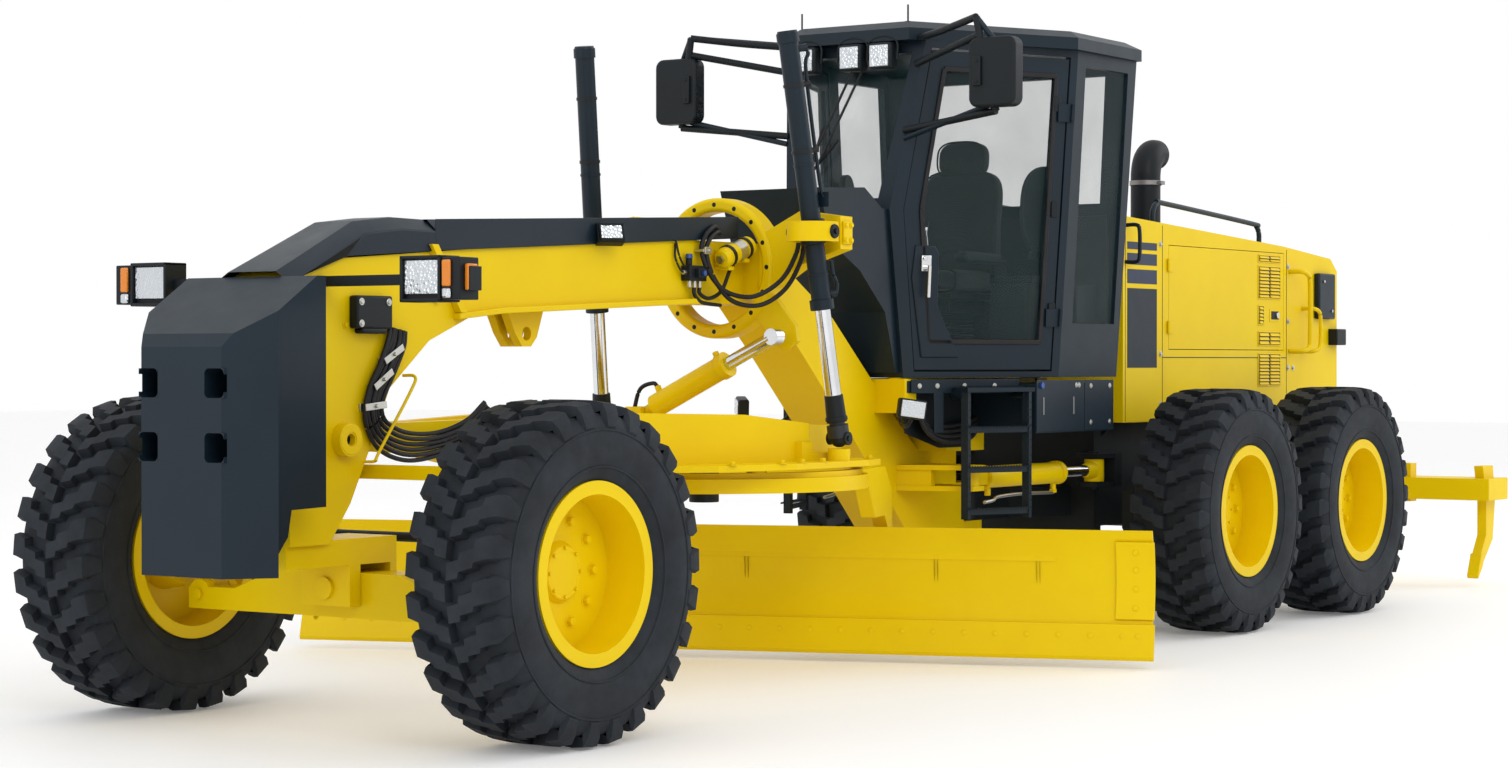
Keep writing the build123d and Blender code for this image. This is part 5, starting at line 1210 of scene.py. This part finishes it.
# steering wheel with its hub and grip, and the lever banks either side of the column
wheel = {"centre": (-4.085, 0, 2.092), "lean": -30, "radius": 0.170, "rim": 0.0155}
wheelTurn = placed(wheel["centre"], (wheel["lean"], "Y"))
piece("steering_wheel", hoseRubber, "front", [
    (ring, wheel["centre"], wheelTurn.to_3x3() @ Vector(upward),
     [(wheel["radius"] + a, b) for a, b in around(12, wheel["rim"])], 56)] + [
    (rod, wheelTurn @ Vector(a), wheelTurn @ Vector(b), radius, count, end) for a, b, radius, count, end in (
        ((0, 0, -0.02), (0, 0, 0.022), 0.052, 32, 0.040),
        ((0.1, 0.13, 0.01), (0.1, 0.13, 0.06), 0.020, 20, 0.024))], 50)
shanks, knobs = [], []
for side in (1, -1):
    for k in range(5):
        y = side * (0.11 + 0.038 * k)
        top = Vector((-4.06 + 0.010 * k, y * 0.95, 2.12))
        neck = top + Vector((-0.003, 0, 0.016))
        shanks += [(pipe, [(-3.93, side * (0.08 + 0.012 * k), 1.60), (-3.96, side * (0.09 + 0.02 * k), 1.80),
                           (-4.03, y * 0.92, 2.00), top], 0.005, 8), (rod, top, neck, 0.009, 12)]
        knobs.append((rod, neck, top + Vector((-0.008, 0, 0.052)), 0.010, 14, 0.014))
piece("lever_shanks", chrome, "front", shanks, 60)
piece("lever_knobs", hoseRubber, "front", knobs, 40)
piece("steering_console", cabPlastic, "front", [
    (plate, [(-3.86, 1.44), (-3.84, 1.70), (-3.88, 1.98), (-3.95, 2.03), (-4.03, 2.03), (-4.05, 1.98), (-3.98, 1.70),
             (-4.02, 1.44)], -0.125, 0.25)], 30, 0.02, 3)
piece("console_display", blackPart, "front", [
    (prism, [(0.0, 0.0), (0.11, 0.045), (0.11, 0.055), (0.0, 0.012)], (-4.04, -0.10, 2.035), eastward, upward,
     (0, 0.20, 0))], 30, 0.004)
# side consoles and rear shelf, floor mat, post panels and shields
piece("side_consoles", cabPlastic, "front", [
    (box, (a, side * 0.34, low), (b, side * 0.56, high)) for side in (1, -1)
    for a, b, low, high in ((-4.95, -4.50, 1.45, 1.86), (-4.96, -4.55, 1.86, 1.90))] + [
    (box, (-5.18, -0.60, 1.42), (-4.97, 0.60, 1.86)), (box, (-5.21, -0.66, 1.40), (-5.185, 0.66, 2.235)),
    (box, (-3.715, -0.315, 1.22), (-3.702, 0.315, 1.366))], 30, 0.02, 3)
mat = {"rear": -4.50, "pitch": 0.04, "count": 16, "narrow": 13}
piece("floor_mat", hoseRubber, "front", [
    (box, (x, -half, 1.4165), (x + 0.022, half, 1.424)) for x, half in [
        (mat["rear"] + k * mat["pitch"], 0.24 if k < mat["narrow"] else 0.20) for k in range(mat["count"])]], 30, 0.002)
rounded = [[middle + half * math.copysign(abs(c) ** 0.75, c)
            for middle, half, c in ((0.99, 0.185, a), (0.86, 0.225, b))] for a, b in around(32, 1.0)]
pair("post_panel", cabPlastic, "front", [
    (doorSheet, rounded, -0.135, 0.030),
    (doorSheet, [(0.93, 0.70), (1.06, 0.74), (1.08, 0.98), (0.92, 1.00)], -0.105, 0.012),
    (doorSheet, [(0.86, 0.60), (1.02, 0.60), (1.00, 0.645), (0.88, 0.645)], -0.135, 0.022)], 30, 0.008)
pair("floor_shields", blackPart, "front", [
    (plate, [(-3.69, 1.10), (-3.69, 1.368), (-4.66, 1.368), (-4.66, 1.14), (-4.42, 1.14), (-4.30, 1.02), (-4.02, 1.02)],
     0.3205, 0.0055)] + [(rod, (x, 0.3255, 1.30), (x, 0.334, 1.30), 0.012, 6) for x in (-3.80, -4.05, -4.40)],
     30, 0.0015)
print("cab interior done")

# ---- roof aerials and exhaust ----
piece("aerial_bases", blackPart, "front", [
    (rod, (x, y, low), (x, y, high), radius, count) for x, y in ((-3.76, 0.30), (-3.80, -0.36))
    for low, high, radius, count in ((3.12, 3.152, 0.016, 16), (3.15, 3.235, 0.0045, 10))], 40)
exhaust = {
    "x": -6.939,
    "line": [(-6.939, 0, 2.165), (-6.939, 0, 2.50), (-6.942, 0, 2.58), (-6.965, 0, 2.645), (-7.015, 0, 2.685),
             (-7.075, 0, 2.69)],
    "radius": 0.088,
    "clamps": (2.24, 2.50),
}
x, radius = exhaust["x"], exhaust["radius"]
clamps = []
for z in exhaust["clamps"]:
    clamps += [(ring, (x, 0, z), upward, [(radius, 0.0), (0.095, 0.0), (0.095, 0.028), (radius, 0.028)]),
               (box, (-6.965, 0.09, z + 0.003), (-6.915, 0.115, z + 0.025))]
piece("exhaust_clamps", steel, "rear", clamps, 35, 0.002)
stack = piece("exhaust_pipe", blackPart, "rear", [
    (pipe, exhaust["line"], radius, 40),
    (ring, (x, 0, 2.155), upward, [(0.085, 0.0), (0.125, 0.0), (0.125, 0.02), (0.085, 0.02)])], 50)
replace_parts(stack, "exhaust_stack")
# a dark disc at the pipe's end stands for its open mouth: the inside's own soot and painted shade
piece("exhaust_mouth", hoseRubber, "rear", [(rod, (-7.0755, 0, 2.69), (-7.078, 0, 2.69), 0.078, 40)])

# ---- ripper points, and the covers of the tandem cases ----
piece("ripper_points", yellow, "ripper", [
    (plate, [(-9.545, 0.055), (-9.535, 0.075), (-9.600, 0.215), (-9.665, 0.205), (-9.625, 0.13)], y - 0.038, 0.076)
    for y in (-1.03, 0.0, 1.03)], 30, 0.004)
tandem = {
    "face": 0.79,
    "hubs": (-5.7325, -7.2575), "height": 0.656,
    "cover": [(0.10, 0.0), (0.162, 0.0), (0.162, 0.022), (0.155, 0.03), (0.10, 0.03)],
}
covers, heads = [], []
for side in (1, -1):
    y = side * tandem["face"]
    covers += [(ring, (x, y, tandem["height"]), (0, side, 0), tandem["cover"], 40) for x in tandem["hubs"]]
    covers.append((box, (-6.62, y, 0.60), (-6.37, y + side * 0.008, 0.78)))
    heads += [(rod, (x, y + side * 0.008, z), (x, y + side * 0.016, z), 0.009, 6)
              for x in (-6.60, -6.495, -6.39) for z in (0.62, 0.76)]
piece("tandem_covers", blackPart, "rear", covers, 35, 0.003)
piece("tandem_bolts", zinc, "rear", heads)
print("rear done")

# ---- corner fillets in the slots of the front weight ----
slot = {"y": (0.122, 0.222), "z": 0.055, "rows": (1.135, 1.375), "radius": 0.022, "x": (0.86, 0.936)}
quarter = [0.5 * math.pi * k / 6 for k in range(7)]
radius, (low, high) = slot["radius"], slot["x"]
fillets = []
for side in (1, -1):
    for y, inward in ((side * slot["y"][0], side), (side * slot["y"][1], -side)):
        for z, up in [(row + up * slot["z"], up) for row in slot["rows"] for up in (1, -1)]:
            outline = [(y, z)] + [(y + inward * radius * (1 - math.sin(a)), z - up * radius * (1 - math.cos(a)))
                                  for a in quarter]
            fillets.append((prism, outline, (low, 0, 0), outward, upward, (high - low, 0, 0)))
piece("slot_corners", charcoal, "front", fillets)
print("slots done")
